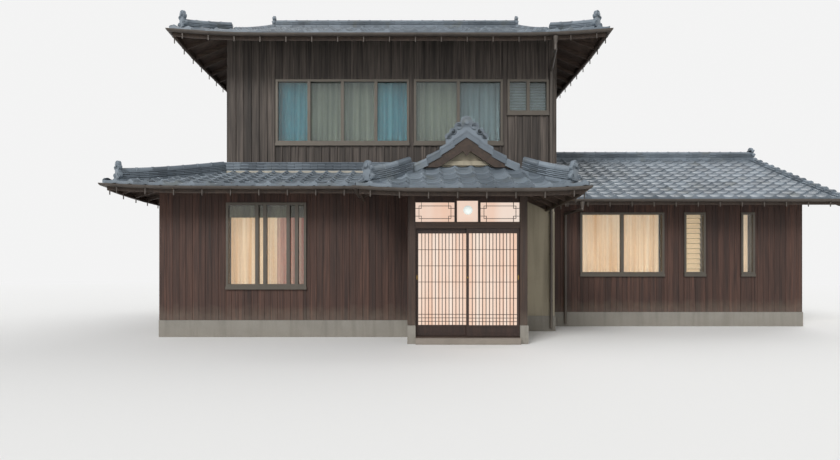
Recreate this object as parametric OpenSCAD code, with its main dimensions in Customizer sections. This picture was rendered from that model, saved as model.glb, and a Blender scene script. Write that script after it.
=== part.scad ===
// A detached machiya townhouse: a two-storey timber block with a tiled hip-and-gable roof,
// a pent roof over the ground floor, a gabled entrance porch with two sliding lattice doors,
// and a single-storey wing. X runs along the street, Y runs back from it, Z is up. The origin
// is at the middle of the porch front, at ground level.

/* [Plan grid] */
// Half ken, the grid that most wall lines and posts stand on
half_ken = 910; // [885:5:955]
// Distance from the middle of the porch to the left wall line of the upper storey
upper_left = 4440; // [4400:10:4560]
// Thickness of the timber-framed walls
wall_t = 120; // [90:5:150]
// Width of the posts between the upper windows
window_post_w = 90; // [70:5:110]

/* [Heights] */
// Height of the concrete foundation strips
foundation_h = 300; // [200:10:350]
// Width of the foundation strips
foundation_w = 150; // [140:5:200]
// Top of the ground floor boards
ground_floor_z = 500; // [420:10:560]
// Thickness of each floor
floor_t = 60; // [40:5:90]
// Top of the upper floor boards
upper_floor_z = 3010; // [2980:5:3040]
// Depth of the beams under the upper walls
beam_h = 240; // [180:10:260]
// Width of the posts inside the ground floor
inner_post_w = 105; // [90:5:120]

/* [Main roof] */
// Height of the tile face at the main eaves
main_eave_z = 5530; // [5480:10:5600]
// How far the main eaves stand out from the wall lines
main_overhang = 850; // [750:10:900]
// Rise of the main roof at its eaves, per unit of run
main_slope = 0.41; // [0.36:0.01:0.46]
// Added steepness of the main roof towards the ridge, per metre
main_sag = 0.009; // [0:0.001:0.02]
// How far the main roof corners turn up
main_corner_lift = 90; // [60:10:180]
// Distance from each eave corner to the verge of the gable
main_verge_in = 900; // [850:10:1000]
// Distance from each side eave to the face of the gable wall
main_gable_in = 1210; // [1150:10:1350]

/* [Pent roof] */
// Height of the tile face at the pent eave
pent_eave_z = 2660; // [2630:5:2700]
// How far the pent eaves stand out from the wall lines
pent_overhang = 720; // [650:10:780]
// Rise of the pent roof at its eaves, per unit of run
pent_slope = 0.28; // [0.26:0.01:0.36]
// Added steepness of the pent roof towards the wall, per metre
pent_sag = 0.012; // [0:0.002:0.04]
// How far the pent roof corner turns up
pent_corner_lift = 60; // [20:5:90]
// How far the pent roof runs past the rear wall line
pent_verge = 300; // [200:10:400]
// Number of flashing courses where the pent roof meets the upper walls
flashing_courses = 5; // [3:1:6]

/* [Porch roof] */
// Height of the tile face at the porch eaves
porch_eave_z = 2500; // [2480:5:2530]
// How far the porch side eaves stand out from the post lines
porch_side_overhang = 850; // [800:10:880]
// How far the porch front eave stands out from the post line
porch_front_overhang = 700; // [640:10:760]
// Rise of the porch roof at its eaves, per unit of run
porch_slope = 0.34; // [0.33:0.01:0.38]
// Added steepness of the porch roof towards its ridge, per metre
porch_sag = 0.135; // [0.12:0.005:0.14]
// How far the porch roof corners turn up
porch_corner_lift = 45; // [20:5:70]
// Distance from the porch front eave to the verge of its gable
porch_verge_in = 830; // [780:10:900]
// Distance from the porch front eave to the face of its gable wall
porch_gable_in = 960; // [930:10:1080]
// Height of the ledge at the foot of the porch gable
ledge_h = 75; // [50:5:90]

/* [Wing roof] */
// Height of the tile face at the wing eaves
wing_eave_z = 2660; // [2630:5:2700]
// How far the wing eaves stand out from the wall lines
wing_overhang = 750; // [650:10:850]
// Rise of the wing roof at its eaves, per unit of run
wing_slope = 0.42; // [0.38:0.01:0.46]
// Added steepness of the wing roof towards its ridge, per metre
wing_sag = 0.008; // [0:0.001:0.02]
// How far the wing roof runs past its end wall line
wing_verge = 420; // [300:10:500]

/* [Roof build] */
// Thickness of the tiles with their bed, measured straight down
tile_t = 70; // [50:5:90]
// Thickness of the roof boards
board_t = 25; // [18:1:35]
// How far the tiles stand out past the roof boards
tile_lip = 45; // [30:5:60]
// Width of a rafter
rafter_w = 45; // [35:5:60]
// Depth of a rafter
rafter_h = 75; // [60:5:100]
// Spacing of the rafters
rafter_pitch = 455; // [400:5:520]
// Width of the rafters under the hips
hip_rafter_w = 70; // [60:5:90]
// Thickness of the fascia boards across the rafter ends
fascia_t = 30; // [22:1:34]
// Depth of the fascia boards
fascia_h = 90; // [80:5:110]
// Height of one course of ridge tiles
course_h = 30; // [25:1:36]
// Radius of the round tiles along the ridges
cap_r = 65; // [50:5:75]
// Width of the lowest ridge course
ridge_w = 250; // [220:10:300]
// Width of the lowest course of the ridges along the hips
hip_w = 220; // [180:10:240]
// How far up its hip each corner ridge starts
hip_foot = 170; // [150:10:220]
// Width of the end ornaments of the straight ridges
end_tile_w = 300; // [240:10:340]
// Height of these ornaments
end_tile_h = 260; // [220:10:320]
// Thickness of these ornaments
end_tile_t = 60; // [50:5:80]
// Radius of the crown of the tile over the porch gable
crown_tile_r = 105; // [90:5:120]
// Width of the ornaments at the feet of the hips
corner_tile_w = 290; // [220:10:320]
// Height of these ornaments
corner_tile_h = 320; // [220:10:380]
// Depth of the bargeboards at the ridge
bargeboard_h = 210; // [170:10:250]
// Thickness of the bargeboards
bargeboard_t = 40; // [30:2:50]
// Width of the pendant under each gable's peak
pendant_w = 150; // [120:10:200]
// Height of the pendant
pendant_h = 190; // [150:10:240]
// Outer radius of the gutters
gutter_r = 50; // [40:2:60]
// Thickness of the gutter wall
gutter_t = 4; // [3:1:6]
// Radius of the downpipes
downpipe_r = 30; // [25:1:35]

/* [Entrance] */
// Height of the entrance slab
slab_h = 100; // [80:5:120]
// How far the slab stands out in front of the doors
step_depth = 150; // [100:10:250]
// Height of the wooden door sill above the slab
sill_h = 18; // [14:1:24]
// Underside of the door lintel
lintel_z = 1880; // [1840:5:1920]
// Height of the door lintel
lintel_h = 105; // [90:5:120]
// Depth of the two grooves in the lintel that guide the doors
groove_h = 18; // [14:1:24]
// Clearance between a door and the sides of its groove
groove_clear = 5.5; // [5:0.5:7]
// Underside of the head beam over the transom
head_beam_z = 2400; // [2360:5:2430]
// How far the head beam runs on past the porch posts
beam_nose = 140; // [100:10:180]
// Height of these beam ends
nose_h = 120; // [90:10:140]
// Depth of the transom's top rail
transom_rail_h = 95; // [70:5:110]
// Half width of the lamp box in the middle of the transom
lamp_box_half = 172; // [150:2:190]
// Width of the posts beside the lamp box
lamp_post_w = 41; // [30:1:50]
// Width of the thin transom bars
kumiko_w = 7; // [5:1:10]
// Inset of the first ring of transom bars
kumiko_inset = 57; // [50:1:62]
// Size of the small squares at the corners of the transom bars
kumiko_square = 40; // [32:1:48]
// Radius of the globe lamp
lamp_r = 75; // [60:1:85]

/* [Sliding doors] */
// Thickness of each door
door_t = 30; // [26:1:36]
// Clear gap between the two doors' tracks
track_gap = 16; // [12:1:24]
// Running clearance above, below and beside the doors
door_clear = 6; // [5:1:8]
// Width of a door stile
stile_w = 40; // [34:1:48]
// Height of the door's top rail
top_rail_h = 75; // [60:5:90]
// Height of the boarded foot of each door
kick_h = 177; // [150:1:200]
// Number of upright bars in each door
upright_count = 13; // [9:1:15]
// Width of an upright bar
upright_w = 11; // [8:1:14]
// Number of tall rows of the lattice
tall_rows = 5; // [3:1:6]
// Height of one short row at the foot of the lattice
short_row_h = 58; // [50:1:64]
// Number of short rows
short_rows = 3; // [2:1:4]
// Radius of the small wheels under the doors
wheel_r = 12; // [9:1:14]
// Thickness of the door panes
pane_t = 4; // [3:1:6]

/* [Windows] */
// Sill height of the upper windows
upper_sill_z = 3660; // [3630:10:3720]
// Head height of the upper windows
upper_head_z = 4900; // [4840:10:4960]
// Width of the wide upper window
wide_win_w = 2600; // [2500:10:2640]
// Sill height of the small upper window
small_sill_z = 4250; // [4150:10:4350]
// Head height of the ground floor windows
ground_head_z = 2400; // [2340:10:2440]
// Sill height of the ground floor window
ground_sill_z = 900; // [800:10:1000]
// Left edge of the ground floor window, measured from the left wall line
ground_win_in = 1130; // [1000:10:1300]
// Width of the ground floor window
ground_win_w = 1430; // [1300:10:1600]
// Width of the wing's wide window
wing_win_w = 1770; // [1600:10:1850]
// Distance from the main block's wall line to the wing's wide window
wing_win_in = 830; // [700:10:900]
// Distance from the main block's wall line to the louvre window
louvre_in = 3020; // [2900:10:3100]
// Width of the louvre window
louvre_w = 450; // [400:10:500]
// Distance from the main block's wall line to the narrow window
narrow_in = 4220; // [4000:10:4300]
// Width of the narrow window
narrow_w = 290; // [250:10:350]
// Sill height of the wing's windows
wing_sill_z = 1100; // [1000:10:1300]
// Width of the windows in the rear walls
rear_win_w = 1200; // [900:50:1250]
// Depth of the window frames
frame_depth = 90; // [70:5:120]
// How far the window frames stand out from the wall face
frame_proud = 35; // [20:1:45]
// Height of the sill under a window frame
frame_sill_h = 50; // [35:5:60]
// How far this sill stands out past the frame
frame_sill_out = 15; // [8:1:20]
// Width of a window frame's bars
frame_bar = 45; // [35:1:55]
// Width of the overlapping sash stiles
sash_bar = 60; // [45:1:70]
// Thickness of the window glass
glass_t = 6; // [4:1:8]

/* [Hidden] */
$fn = 32;

wood = "#3a2b22";
old_board = "#4b4744";
tile_grey = "#6c7680";
plaster = "#a9a08c";
bronze = "#5b5650";
concrete = "#8d8a84";

half_wall = wall_t / 2;
upper_left_x = -upper_left;
left_x = upper_left_x - half_ken;
porch_x = half_ken;
right_x = 2 * half_ken;
wing_x = 8 * half_ken;
front_y = half_ken;
upper_front_y = 2 * half_ken;
wing_front_y = 3 * half_ken;
wing_rear_y = 8 * half_ken;
rear_y = 9 * half_ken;
// Parts that lie against each other keep this much room
seat = 0.3;
small = 0.01;
beam_top = upper_floor_z - floor_t;
beam_bottom = beam_top - beam_h;

// A roof is [eave height, slope, added steepness, corner lift, reach of the lift]
lift_reach = 1700;
main = [main_eave_z, main_slope, main_sag / 1000, main_corner_lift, lift_reach];
pent = [pent_eave_z, pent_slope, pent_sag / 1000, pent_corner_lift, lift_reach];
porch = [porch_eave_z, porch_slope, porch_sag / 1000, porch_corner_lift, 1000];
wing = [wing_eave_z, wing_slope, wing_sag / 1000, 0, lift_reach];
function rise(r, u) = r[0] + r[1] * u + r[2] * u * u;
function fade(d, reach) = d >= reach ? 0 : pow(1 - max(d, 0) / reach, 2);
// Height of the tile face at run u, and at distances a and b from the two ends of the eave
function face_z(r, u, a, b) = rise(r, u) + r[3] * fade(u, r[4]) * (fade(a, r[4]) + fade(b, r[4]));
// The hip line as it is built, straight between the rows of a slope
function hip_z(r, rows, u) = let (
        i = max([for (k = [0:len(rows) - 2]) rows[k] <= u ? k : 0]),
        share = (u - rows[i]) / (rows[i + 1] - rows[i])
    ) (1 - share) * face_z(r, rows[i], rows[i], r[4]) + share * face_z(r, rows[i + 1], rows[i + 1], r[4]);
// Fall of the highest row of a slope, away from the ridge
function top_fall(r, rows) = let (n = len(rows))
    (rise(r, rows[n - 1]) - rise(r, rows[n - 2])) / (rows[n - 1] - rows[n - 2]);
// Where a wall stops under the roof boards, at run u
function under_boards(r, u) = rise(r, u) - tile_t - board_t - seat;
// The same over the outer face of a wall that stands overhang back
function wall_top(r, overhang) = under_boards(r, overhang - half_wall);
// The line a wall follows under the roof boards from run u0 to u1, with its breaks
function boards_line(r, rows, u0, u1) = let (
        breaks = concat([u0], [for (k = rows) if (k > u0 + 1 && k < u1 - 1) k], [u1])
    ) [for (u = breaks) [u, under_boards(r, u)]];
// Slope of a roof at run u
function slope_at(r, u) = r[1] + 2 * r[2] * u;
// A list of points moved along X, and one mirrored about X = 0 from its last point to its first
function moved(points, by) = [for (p = points) [p[0] + by, p[1]]];
function mirrored(points) = [for (i = [len(points) - 1:-1:0]) [-points[i][0], points[i][1]]];

main_x0 = upper_left_x - main_overhang;
main_x1 = right_x + main_overhang;
main_y0 = upper_front_y - main_overhang;
main_y1 = rear_y + main_overhang;
main_run = (main_y1 - main_y0) / 2;
main_mid_y = (main_y0 + main_y1) / 2;
// A slope is built of straight rows between these runs, more of them where it bends
function steps(a, b, n) = [for (i = [1:n]) a + (b - a) * i / n];
function eave_rows(verge_in) = concat([0, tile_lip], steps(tile_lip, verge_in, 3));
// A skirt ends behind the gable, and has two close rows where it slips in under the verge
function skirt_rows(verge_in, gable_in) = concat(
    [for (u = eave_rows(verge_in)) if (u < verge_in - 4) u], [verge_in - 4, verge_in - 1, gable_in - seat]
);
main_rows = concat(eave_rows(main_verge_in), [main_gable_in], steps(main_gable_in, main_run - seat, 3));
main_skirt_rows = skirt_rows(main_verge_in, main_gable_in);
main_wall_top = wall_top(main, main_overhang);
eave_columns = [0, 0.04, 0.09, 0.15, 0.22, 0.5, 0.78, 0.85, 0.91, 0.96, 1];

pent_x0 = left_x - pent_overhang;
pent_y0 = front_y - pent_overhang;
pent_y1 = rear_y + pent_verge;
pent_run = half_ken + pent_overhang - half_wall;
pent_rows = eave_rows(pent_run - seat);
pent_wall_top = wall_top(pent, pent_overhang);
one_corner_columns = [0, 0.05, 0.1, 0.16, 0.24, 0.6, 1];

porch_x1 = porch_x + porch_side_overhang;
porch_y0 = -porch_front_overhang;
porch_y1 = upper_front_y - half_wall - seat;
porch_run = porch_x1;
porch_rows = concat(eave_rows(porch_verge_in), [porch_gable_in], steps(porch_gable_in, porch_run - seat, 2));
porch_skirt_rows = skirt_rows(porch_verge_in, porch_gable_in);
porch_columns = [0, 0.1, 0.2, 0.35, 0.65, 0.8, 0.9, 1];
porch_wall_top = wall_top(porch, porch_side_overhang);
porch_front_top = wall_top(porch, porch_front_overhang);

wing_x0 = right_x + half_wall + seat;
wing_x1 = wing_x + wing_verge;
wing_y0 = wing_front_y - wing_overhang;
wing_y1 = wing_rear_y + wing_overhang;
wing_run = (wing_y1 - wing_y0) / 2;
wing_mid_y = (wing_y0 + wing_y1) / 2;
wing_rows = eave_rows(wing_run - seat);
wing_wall_top = wall_top(wing, wing_overhang);

// The valley where the pent roof meets the porch roof, from its foot to its head
function porch_u_at(z) = let (p = porch[1], q = porch[2])
    (sqrt(p * p + 4 * q * (z - porch[0])) - p) / (2 * q);
valley_foot = [-porch_x1 + porch_u_at(rise(pent, 0)), pent_y0];
valley_head = [-porch_x1 + porch_u_at(rise(pent, pent_run)), pent_y0 + pent_run];
// Where it passes over the face of the ground floor wall
valley_wall_x = valley_foot[0]
    + (valley_head[0] - valley_foot[0]) * (pent_overhang - half_wall) / pent_run;

// Joins closed sections, each a ring of points that runs clockwise seen along the run. A
// ring's first points face its last ones, so each end is closed by a strip between them. Both
// faces of a sheet are cut along the same diagonals, so one sheet lies true on another
module skin(sections) {
    m = len(sections[0]);
    last = len(sections) - 1;
    pairs = m - m % 2;
    sides = [for (j = [0:last - 1], i = [0:m - 1]) let (
            a = j * m + i,
            b = j * m + (i + 1) % m
        ) each (i < pairs / 2 ? [[a, a + m, b + m], [a, b + m, b]] : [[a, a + m, b], [a + m, b + m, b]])];
    strip = concat(
        [for (i = [0:pairs / 2 - 2]) each [[i, i + 1, pairs - 1 - i], [i + 1, pairs - 2 - i, pairs - 1 - i]]],
        m > pairs ? [[0, pairs - 1, pairs]] : []
    );
    last_cap = [for (f = strip) [last * m + f[0], last * m + f[2], last * m + f[1]]];
    polyhedron(points = [for (s = sections) each s], faces = concat(sides, strip, last_cap), convexity = 6);
}

// A slope of a roof is [width, rows, columns, low, high, tuck]. Its eave runs along X from 0 to
// its width, and it rises along Y. low and high say where each end stops: hipped up to that run,
// or square at 0. Past the run called tuck a skirt slips in under the verge, clear of the slope
// above it
no_tuck = 1e6;
// How far inside its ends a slope's corners count as lifted, which square ends never are
function far(r, d, hip) = hip > 0 ? d : r[4];
// Height of the tile face over one slope, at x and u
function slope_z(r, s, x, u) = face_z(r, u, far(r, x, s[3]), far(r, s[0] - x, s[4]));

// A sheet of thickness t, drop below the tile face, over the given rows of a slope
module slope_sheet(r, s, rows, drop, t) {
    function inset(u) = u > s[5] - 2 ? (tile_t + board_t + 6) / slope_at(r, s[5]) : seat;
    function x_low(u) = s[3] > 0 ? min(u, s[3]) + inset(u) : 0;
    function x_high(u) = s[4] > 0 ? s[0] - min(u, s[4]) - inset(u) : s[0];
    function x_at(u, c) = x_low(u) + (x_high(u) - x_low(u)) * c;
    sections = [for (u = rows) let (
            top = [for (c = s[2]) let (x = x_at(u, c)) [x, u, slope_z(r, s, x, u) - drop]],
            n = len(top)
        ) concat(top, [for (i = [n - 1:-1:0]) top[i] - [0, 0, t]])];
    skin(sections);
}

module tile_slope(r, s)
    slope_sheet(r, s, s[1], 0, tile_t);

// The fascia board across the rafter ends, a little below the edge of the roof boards
fascia_drop = tile_t + board_t + 2;
module fascia(r, s)
    slope_sheet(r, s, [tile_lip, tile_lip + fascia_t - seat], fascia_drop, fascia_h);

// Rafter tails under the eave of a slope, from behind the fascia to the wall face
module rafter_tails(r, s, overhang) {
    grip = 9;
    u0 = tile_lip + fascia_t;
    u1 = overhang - half_wall - seat;
    hip_gap = (hip_rafter_w + rafter_w) / sqrt(2) + seat;
    count = floor((s[0] - 2 * rafter_w) / rafter_pitch);
    start = (s[0] - count * rafter_pitch) / 2;
    for (i = [0:count]) {
        x = start + i * rafter_pitch;
        reach = min(s[3] > 0 ? x - hip_gap : u1, s[4] > 0 ? s[0] - x - hip_gap : u1, u1);
        if (reach > u0 + rafter_w)
            skin([for (u = [u0, reach]) let (z = slope_z(r, s, x, u) - tile_t - board_t) [
                [x - rafter_w / 2, u, z + grip],
                [x + rafter_w / 2, u, z + grip],
                [x + rafter_w / 2, u, z - rafter_h],
                [x - rafter_w / 2, u, z - rafter_h]
            ]]);
    }
}

module deck_slope(r, s, overhang) union() {
    slope_sheet(r, s, [for (u = s[1]) if (u >= tile_lip) u], tile_t + seat, board_t - seat);
    rafter_tails(r, s, overhang);
}

// The rafter under a hip, from the corner of the fascias up to run u1, with its eave corner at
// the origin
module hip_rafter(r, rows, u1) {
    half = hip_rafter_w / 2 / sqrt(2);
    u0 = tile_lip + fascia_t + half + seat;
    skin([for (u = concat([u0], [for (k = rows) if (k > u0 + 20 && k < u1 - 20) k], [u1]))
        let (z = hip_z(r, rows, u) - tile_t - board_t - seat - slope_at(r, u) * half) [
            [u - half, u + half, z],
            [u + half, u - half, z],
            [u + half, u - half, z - rafter_h],
            [u - half, u + half, z - rafter_h]
        ]]);
}

// Places a slope on each side of a rectangle of eaves
module on_front(x0, y0) translate([x0, y0, 0]) children();
module on_rear(x1, y1) translate([x1, y1, 0]) rotate(180) children();
module on_left(x0, y1) translate([x0, y1, 0]) rotate(-90) children();
module on_right(x1, y0) translate([x1, y0, 0]) rotate(90) children();

// Each course of a ridge is narrower than the one below it and has a shadow gap at its top
course_set = 8;
course_gap = 7;
// Half width and height of the corners of one side of a ridge, from its foot up
function ridge_side(courses, w) = [for (i = [0:courses - 1], up = [0, 1])
        [w / 2 - i * course_set, up == 0 ? i * course_h : (i + 1) * course_h - course_gap]];

// A ridge as a ring of points: courses of flat tiles under a round tile, standing on a roof
// that falls away on both sides
function ridge_ring(courses, w, fall) = let (side = ridge_side(courses, w)) concat(
    [[-w / 2, -fall * w / 2]],
    [for (p = side) [-p[0], p[1]]],
    [for (a = [180:-36:0]) [cap_r * cos(a), courses * course_h + cap_r * sin(a)]],
    [for (i = [len(side) - 1:-1:0]) side[i]],
    [[w / 2, -fall * w / 2], [0, 0]]
);

// The same as an outline with its round top true, for straight ridges
module ridge_outline(courses, w, fall) {
    top_half = w / 2 - (courses - 1) * course_set;
    polygon([
        [0, 0], [-w / 2, -fall * w / 2], [-w / 2, course_h / 2],
        [w / 2, course_h / 2], [w / 2, -fall * w / 2]
    ]);
    for (i = [0:courses - 1]) {
        half = w / 2 - i * course_set;
        foot = max(i * course_h, small);
        translate([-half, foot]) square([2 * half, (i + 1) * course_h - course_gap - foot]);
        translate([-half + course_set, foot]) square([2 * (half - course_set), (i + 1) * course_h - foot]);
    }
    translate([0, courses * course_h]) intersection() {
        circle(cap_r);
        translate([-cap_r, -1]) square([2 * cap_r, cap_r + 2]);
    }
}

// An end ornament: a crowned plate between two pairs of scrolls, with a raised boss in its
// crown and a ring on each scroll. It faces along Z
module end_ornament(w, h, t) {
    crown_r = w * 0.26;
    relief = t * 0.25;
    scrolls = [[w * 0.33, h * 0.2, w * 0.17], [w * 0.27, h * 0.62, w * 0.13]];
    linear_extrude(t) {
        translate([-w * 0.3, 0]) square([w * 0.6, h * 0.72]);
        translate([0, h - crown_r]) circle(crown_r);
        for (side = [-1, 1], s = scrolls) translate([side * s[0], s[1]]) circle(s[2]);
    }
    translate([0, h - crown_r, 0]) cylinder(r = crown_r * 0.5, h = t + relief);
    for (side = [-1, 1], s = scrolls) translate([side * s[0], s[1], 0]) difference() {
        cylinder(r = s[2] * 0.75, h = t + relief);
        translate([0, 0, t]) cylinder(r = s[2] * 0.45, h = relief + 1);
    }
}

// A ridge along a hip, from the eave corner at the origin inwards, with its end ornament
module hip_ridge(r, rows, u1, courses) {
    fall = 0.8 * r[1] / sqrt(2);
    ring = ridge_ring(courses, hip_w, fall);
    stations = concat([hip_foot], [for (u = rows) if (u > hip_foot + 20 && u < u1 - 20) u], [u1]);
    skin([for (u = stations) let (z = hip_z(r, rows, u) + seat)
        [for (p = ring) [u + p[0] / sqrt(2), u - p[0] / sqrt(2), z + p[1]]]]);
    foot = hip_foot + 6;
    translate([foot, foot, hip_z(r, rows, foot) + 1])
        rotate(-45) rotate([90, 0, 0]) end_ornament(corner_tile_w, corner_tile_h, end_tile_t);
}

module box(x0, x1, y0, y1, z0, z1)
    translate([x0, y0, z0]) cube([x1 - x0, y1 - y0, z1 - z0]);

// A wall that runs along X or along Y on its grid line
module wall_x(x0, x1, y, z0, z1) box(x0, x1, y - half_wall, y + half_wall, z0, z1);
module wall_y(y0, y1, x, z0, z1) box(x - half_wall, x + half_wall, y0, y1, z0, z1);

// A strip of foundation round the line from one corner to another
module strip(x0, y0, x1, y1)
    translate([x0 - foundation_w / 2, y0 - foundation_w / 2])
        square([x1 - x0 + foundation_w, y1 - y0 + foundation_w]);

module foundation() color(concrete) linear_extrude(foundation_h) {
    // The porch strips are flush with the inner faces of its walls, clear of the doors
    flush_x = clear_half + foundation_w / 2;
    strip(left_x, front_y, -flush_x, front_y);
    strip(left_x, front_y, left_x, rear_y);
    strip(left_x, rear_y, right_x, rear_y);
    strip(right_x, upper_front_y, right_x, rear_y);
    strip(flush_x, upper_front_y, right_x, upper_front_y);
    strip(-porch_x, 0, -flush_x, front_y);
    strip(flush_x, 0, porch_x, upper_front_y);
    strip(right_x, wing_front_y, wing_x, wing_front_y);
    strip(wing_x, wing_front_y, wing_x, wing_rear_y);
    strip(right_x, wing_rear_y, wing_x, wing_rear_y);
}

// The stone floor of the entrance, with its step in front of the doors
module entrance_slab() color(concrete)
    box(-clear_half, clear_half, -step_depth, upper_front_y + half_wall, 0, slab_h);

// Three floors side by side: the front passage, the main room and the wing
module ground_floor() color(wood) {
    z0 = ground_floor_z - floor_t;
    room_y = upper_front_y + half_wall;
    back_y = rear_y - half_wall;
    box(left_x + half_wall, -porch_x + inner_post_w / 2, front_y + half_wall, room_y - seat,
        z0, ground_floor_z);
    box(left_x + half_wall, right_x - half_wall, room_y, back_y, z0, ground_floor_z);
    box(right_x + half_wall, wing_x - half_wall, wing_front_y + half_wall, wing_rear_y - half_wall,
        z0, ground_floor_z);
}

module upper_floor() color(wood)
    box(upper_left_x + half_wall, right_x - half_wall, upper_front_y + half_wall, rear_y - half_wall,
        beam_top, upper_floor_z);

win_x0 = left_x + ground_win_in;
win_x1 = win_x0 + ground_win_w;

module ground_front_walls() color(wood) {
    wall_x(left_x - half_wall, win_x0, front_y, foundation_h, pent_wall_top);
    wall_x(win_x1, valley_wall_x - seat, front_y, foundation_h, pent_wall_top);
    // The last stretch is lower, under the boards of the porch roof
    wall_x(valley_wall_x, -porch_x - half_wall, front_y, foundation_h,
        under_boards(porch, valley_wall_x + porch_x1));
}

module ground_window_walls() color(wood) {
    wall_x(win_x0, win_x1, front_y, foundation_h, ground_sill_z);
    wall_x(win_x0, win_x1, front_y, ground_head_z, pent_wall_top);
}

module ground_side_walls() {
    color(wood) wall_y(front_y + half_wall, rear_y - half_wall, left_x, foundation_h, pent_wall_top);
    color(plaster) {
        wall_y(upper_front_y + half_wall, wing_front_y + half_wall, right_x, foundation_h, beam_top);
        wall_y(wing_rear_y - half_wall, rear_y - half_wall, right_x, foundation_h, beam_top);
    }
}

rear_ground_wins = [-3.5 * half_ken, -0.5 * half_ken];
rear_upper_wins = [-3.25 * half_ken, 0.25 * half_ken];
rear_wing_wins = [3.75 * half_ken, 6.25 * half_ken];
module window_hole(centre, y, z0, z1)
    box(centre - rear_win_w / 2, centre + rear_win_w / 2, y - wall_t, y + wall_t, z0, z1);

module ground_rear_wall() color(wood) difference() {
    lean = moved(boards_line(pent, pent_rows, pent_overhang - half_wall, pent_run - seat), pent_x0);
    translate([0, rear_y + half_wall, 0]) rotate([90, 0, 0]) linear_extrude(wall_t) polygon(concat(
        [[left_x - half_wall, foundation_h]],
        lean,
        [[upper_left_x - half_wall - seat, beam_top], [right_x + half_wall, beam_top]],
        [[right_x + half_wall, foundation_h]]
    ));
    for (c = rear_ground_wins) window_hole(c, rear_y, ground_sill_z, ground_head_z);
}

// A side wall of the porch. Its front end is cut down to pass under the slope over the doors
module porch_side_wall(x, y1) translate([x - half_wall, 0, 0]) rotate([90, 0, 90]) linear_extrude(wall_t)
    polygon([
        [half_wall, foundation_h],
        [half_wall, under_boards(porch, half_wall - porch_y0)],
        [porch_side_overhang - half_wall + porch_y0, porch_wall_top],
        [y1, porch_wall_top],
        [y1, foundation_h]
    ]);

// The side walls of the porch, and the plaster wall that returns from it to the corner
module porch_walls() {
    color(wood) porch_side_wall(-porch_x, front_y + half_wall);
    color(plaster) {
        porch_side_wall(porch_x, upper_front_y - half_wall - seat);
        wall_x(porch_x - half_wall, right_x + half_wall, upper_front_y, foundation_h, beam_bottom);
    }
}

module porch_posts() color(wood) for (side = [-1, 1])
    box(side * porch_x - half_wall, side * porch_x + half_wall, -half_wall, half_wall,
        foundation_h, porch_front_top);

clear_half = porch_x - half_wall;
sill_top = slab_h + sill_h;
// The lintel and its strips lie this far behind the faces of the posts
lintel_set = 5;
groove_z = lintel_z + groove_h;
// The head beam, which runs on past the posts with rounded ends, the grooved lintel and the sill
module door_frame() color(wood) {
    box(-clear_half, clear_half, -half_wall, half_wall, head_beam_z, porch_front_top);
    box(-clear_half, clear_half, -half_wall, half_wall, slab_h, sill_top);
    lintel_half = half_wall - lintel_set;
    box(-clear_half, clear_half, -lintel_half, lintel_half, groove_z, lintel_z + lintel_h);
    // Strips nailed on under the lintel leave a groove for each door
    inner = track_gap / 2 - groove_clear;
    outer = track_gap / 2 + door_t + groove_clear;
    for (strip = [[-lintel_half, -outer], [-inner, inner], [outer, lintel_half]])
        box(-clear_half, clear_half, strip[0], strip[1], lintel_z, groove_z - seat);
    nose_half = half_wall * 0.75;
    for (side = [0, 1]) mirror([side, 0, 0]) translate([porch_x + half_wall + seat, 0, head_beam_z]) {
        box(0, beam_nose - nose_h / 2, -nose_half, nose_half, 0, nose_h);
        translate([beam_nose - nose_h / 2, nose_half, nose_h / 2]) rotate([90, 0, 0])
            cylinder(r = nose_h / 2, h = 2 * nose_half);
    }
}

transom_z0 = lintel_z + lintel_h;
transom_z1 = head_beam_z - transom_rail_h;
// How much higher the lamp box is than the panels beside it
lamp_box_rise = 28;
lamp_z = (transom_z0 + transom_z1) / 2 + lamp_box_rise;
transom_depth = 24;
panel_x0 = lamp_box_half + lamp_post_w;

// Thin bars set in from the frame, with a small square at each corner
module kumiko_panel(w, h) {
    q = kumiko_inset + kumiko_square;
    b = kumiko_w;
    translate([kumiko_inset - b / 2, kumiko_inset - b / 2]) difference() {
        square([w - 2 * kumiko_inset + b, h - 2 * kumiko_inset + b]);
        translate([b, b]) square([w - 2 * kumiko_inset - b, h - 2 * kumiko_inset - b]);
    }
    for (mx = [0, 1], mz = [0, 1]) translate([mx * w, mz * h]) mirror([mx, 0]) mirror([0, mz]) {
        translate([q - b / 2, -1]) square([b, q + 1 + b / 2]);
        translate([-1, q - b / 2]) square([q + 1 + b / 2, b]);
    }
}

module transom_opening() translate([-clear_half, transom_z0])
    square([2 * clear_half, head_beam_z - transom_z0]);
module transom_outline() {
    w = clear_half - panel_x0;
    h = transom_z1 - transom_z0;
    intersection() {
        transom_opening();
        union() {
            difference() {
                transom_opening();
                for (side = [0, 1]) mirror([side, 0]) translate([panel_x0, transom_z0]) square([w, h]);
                translate([-lamp_box_half, transom_z0]) square([2 * lamp_box_half, h + lamp_box_rise]);
            }
            for (side = [0, 1]) mirror([side, 0]) translate([panel_x0, transom_z0]) kumiko_panel(w, h);
        }
    }
}
module transom_lattice() color(wood)
    translate([0, transom_depth / 2, 0]) rotate([90, 0, 0]) linear_extrude(transom_depth) transom_outline();

module transom_panes() color("#f0dccb") {
    y0 = transom_depth / 2;
    box(-clear_half, clear_half, y0, y0 + pane_t, transom_z0, head_beam_z);
}

// A globe on a short round base that is fixed to the pane behind it
module porch_lamp() color("white") {
    base_l = 12;
    translate([0, transom_depth / 2 - base_l - lamp_r, lamp_z]) {
        sphere(lamp_r, $fn = 48);
        rotate([-90, 0, 0]) cylinder(r = lamp_r * 0.55, h = lamp_r + base_l);
    }
}

door_w = clear_half - door_clear + stile_w / 2;
door_z0 = sill_top + door_clear;
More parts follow.
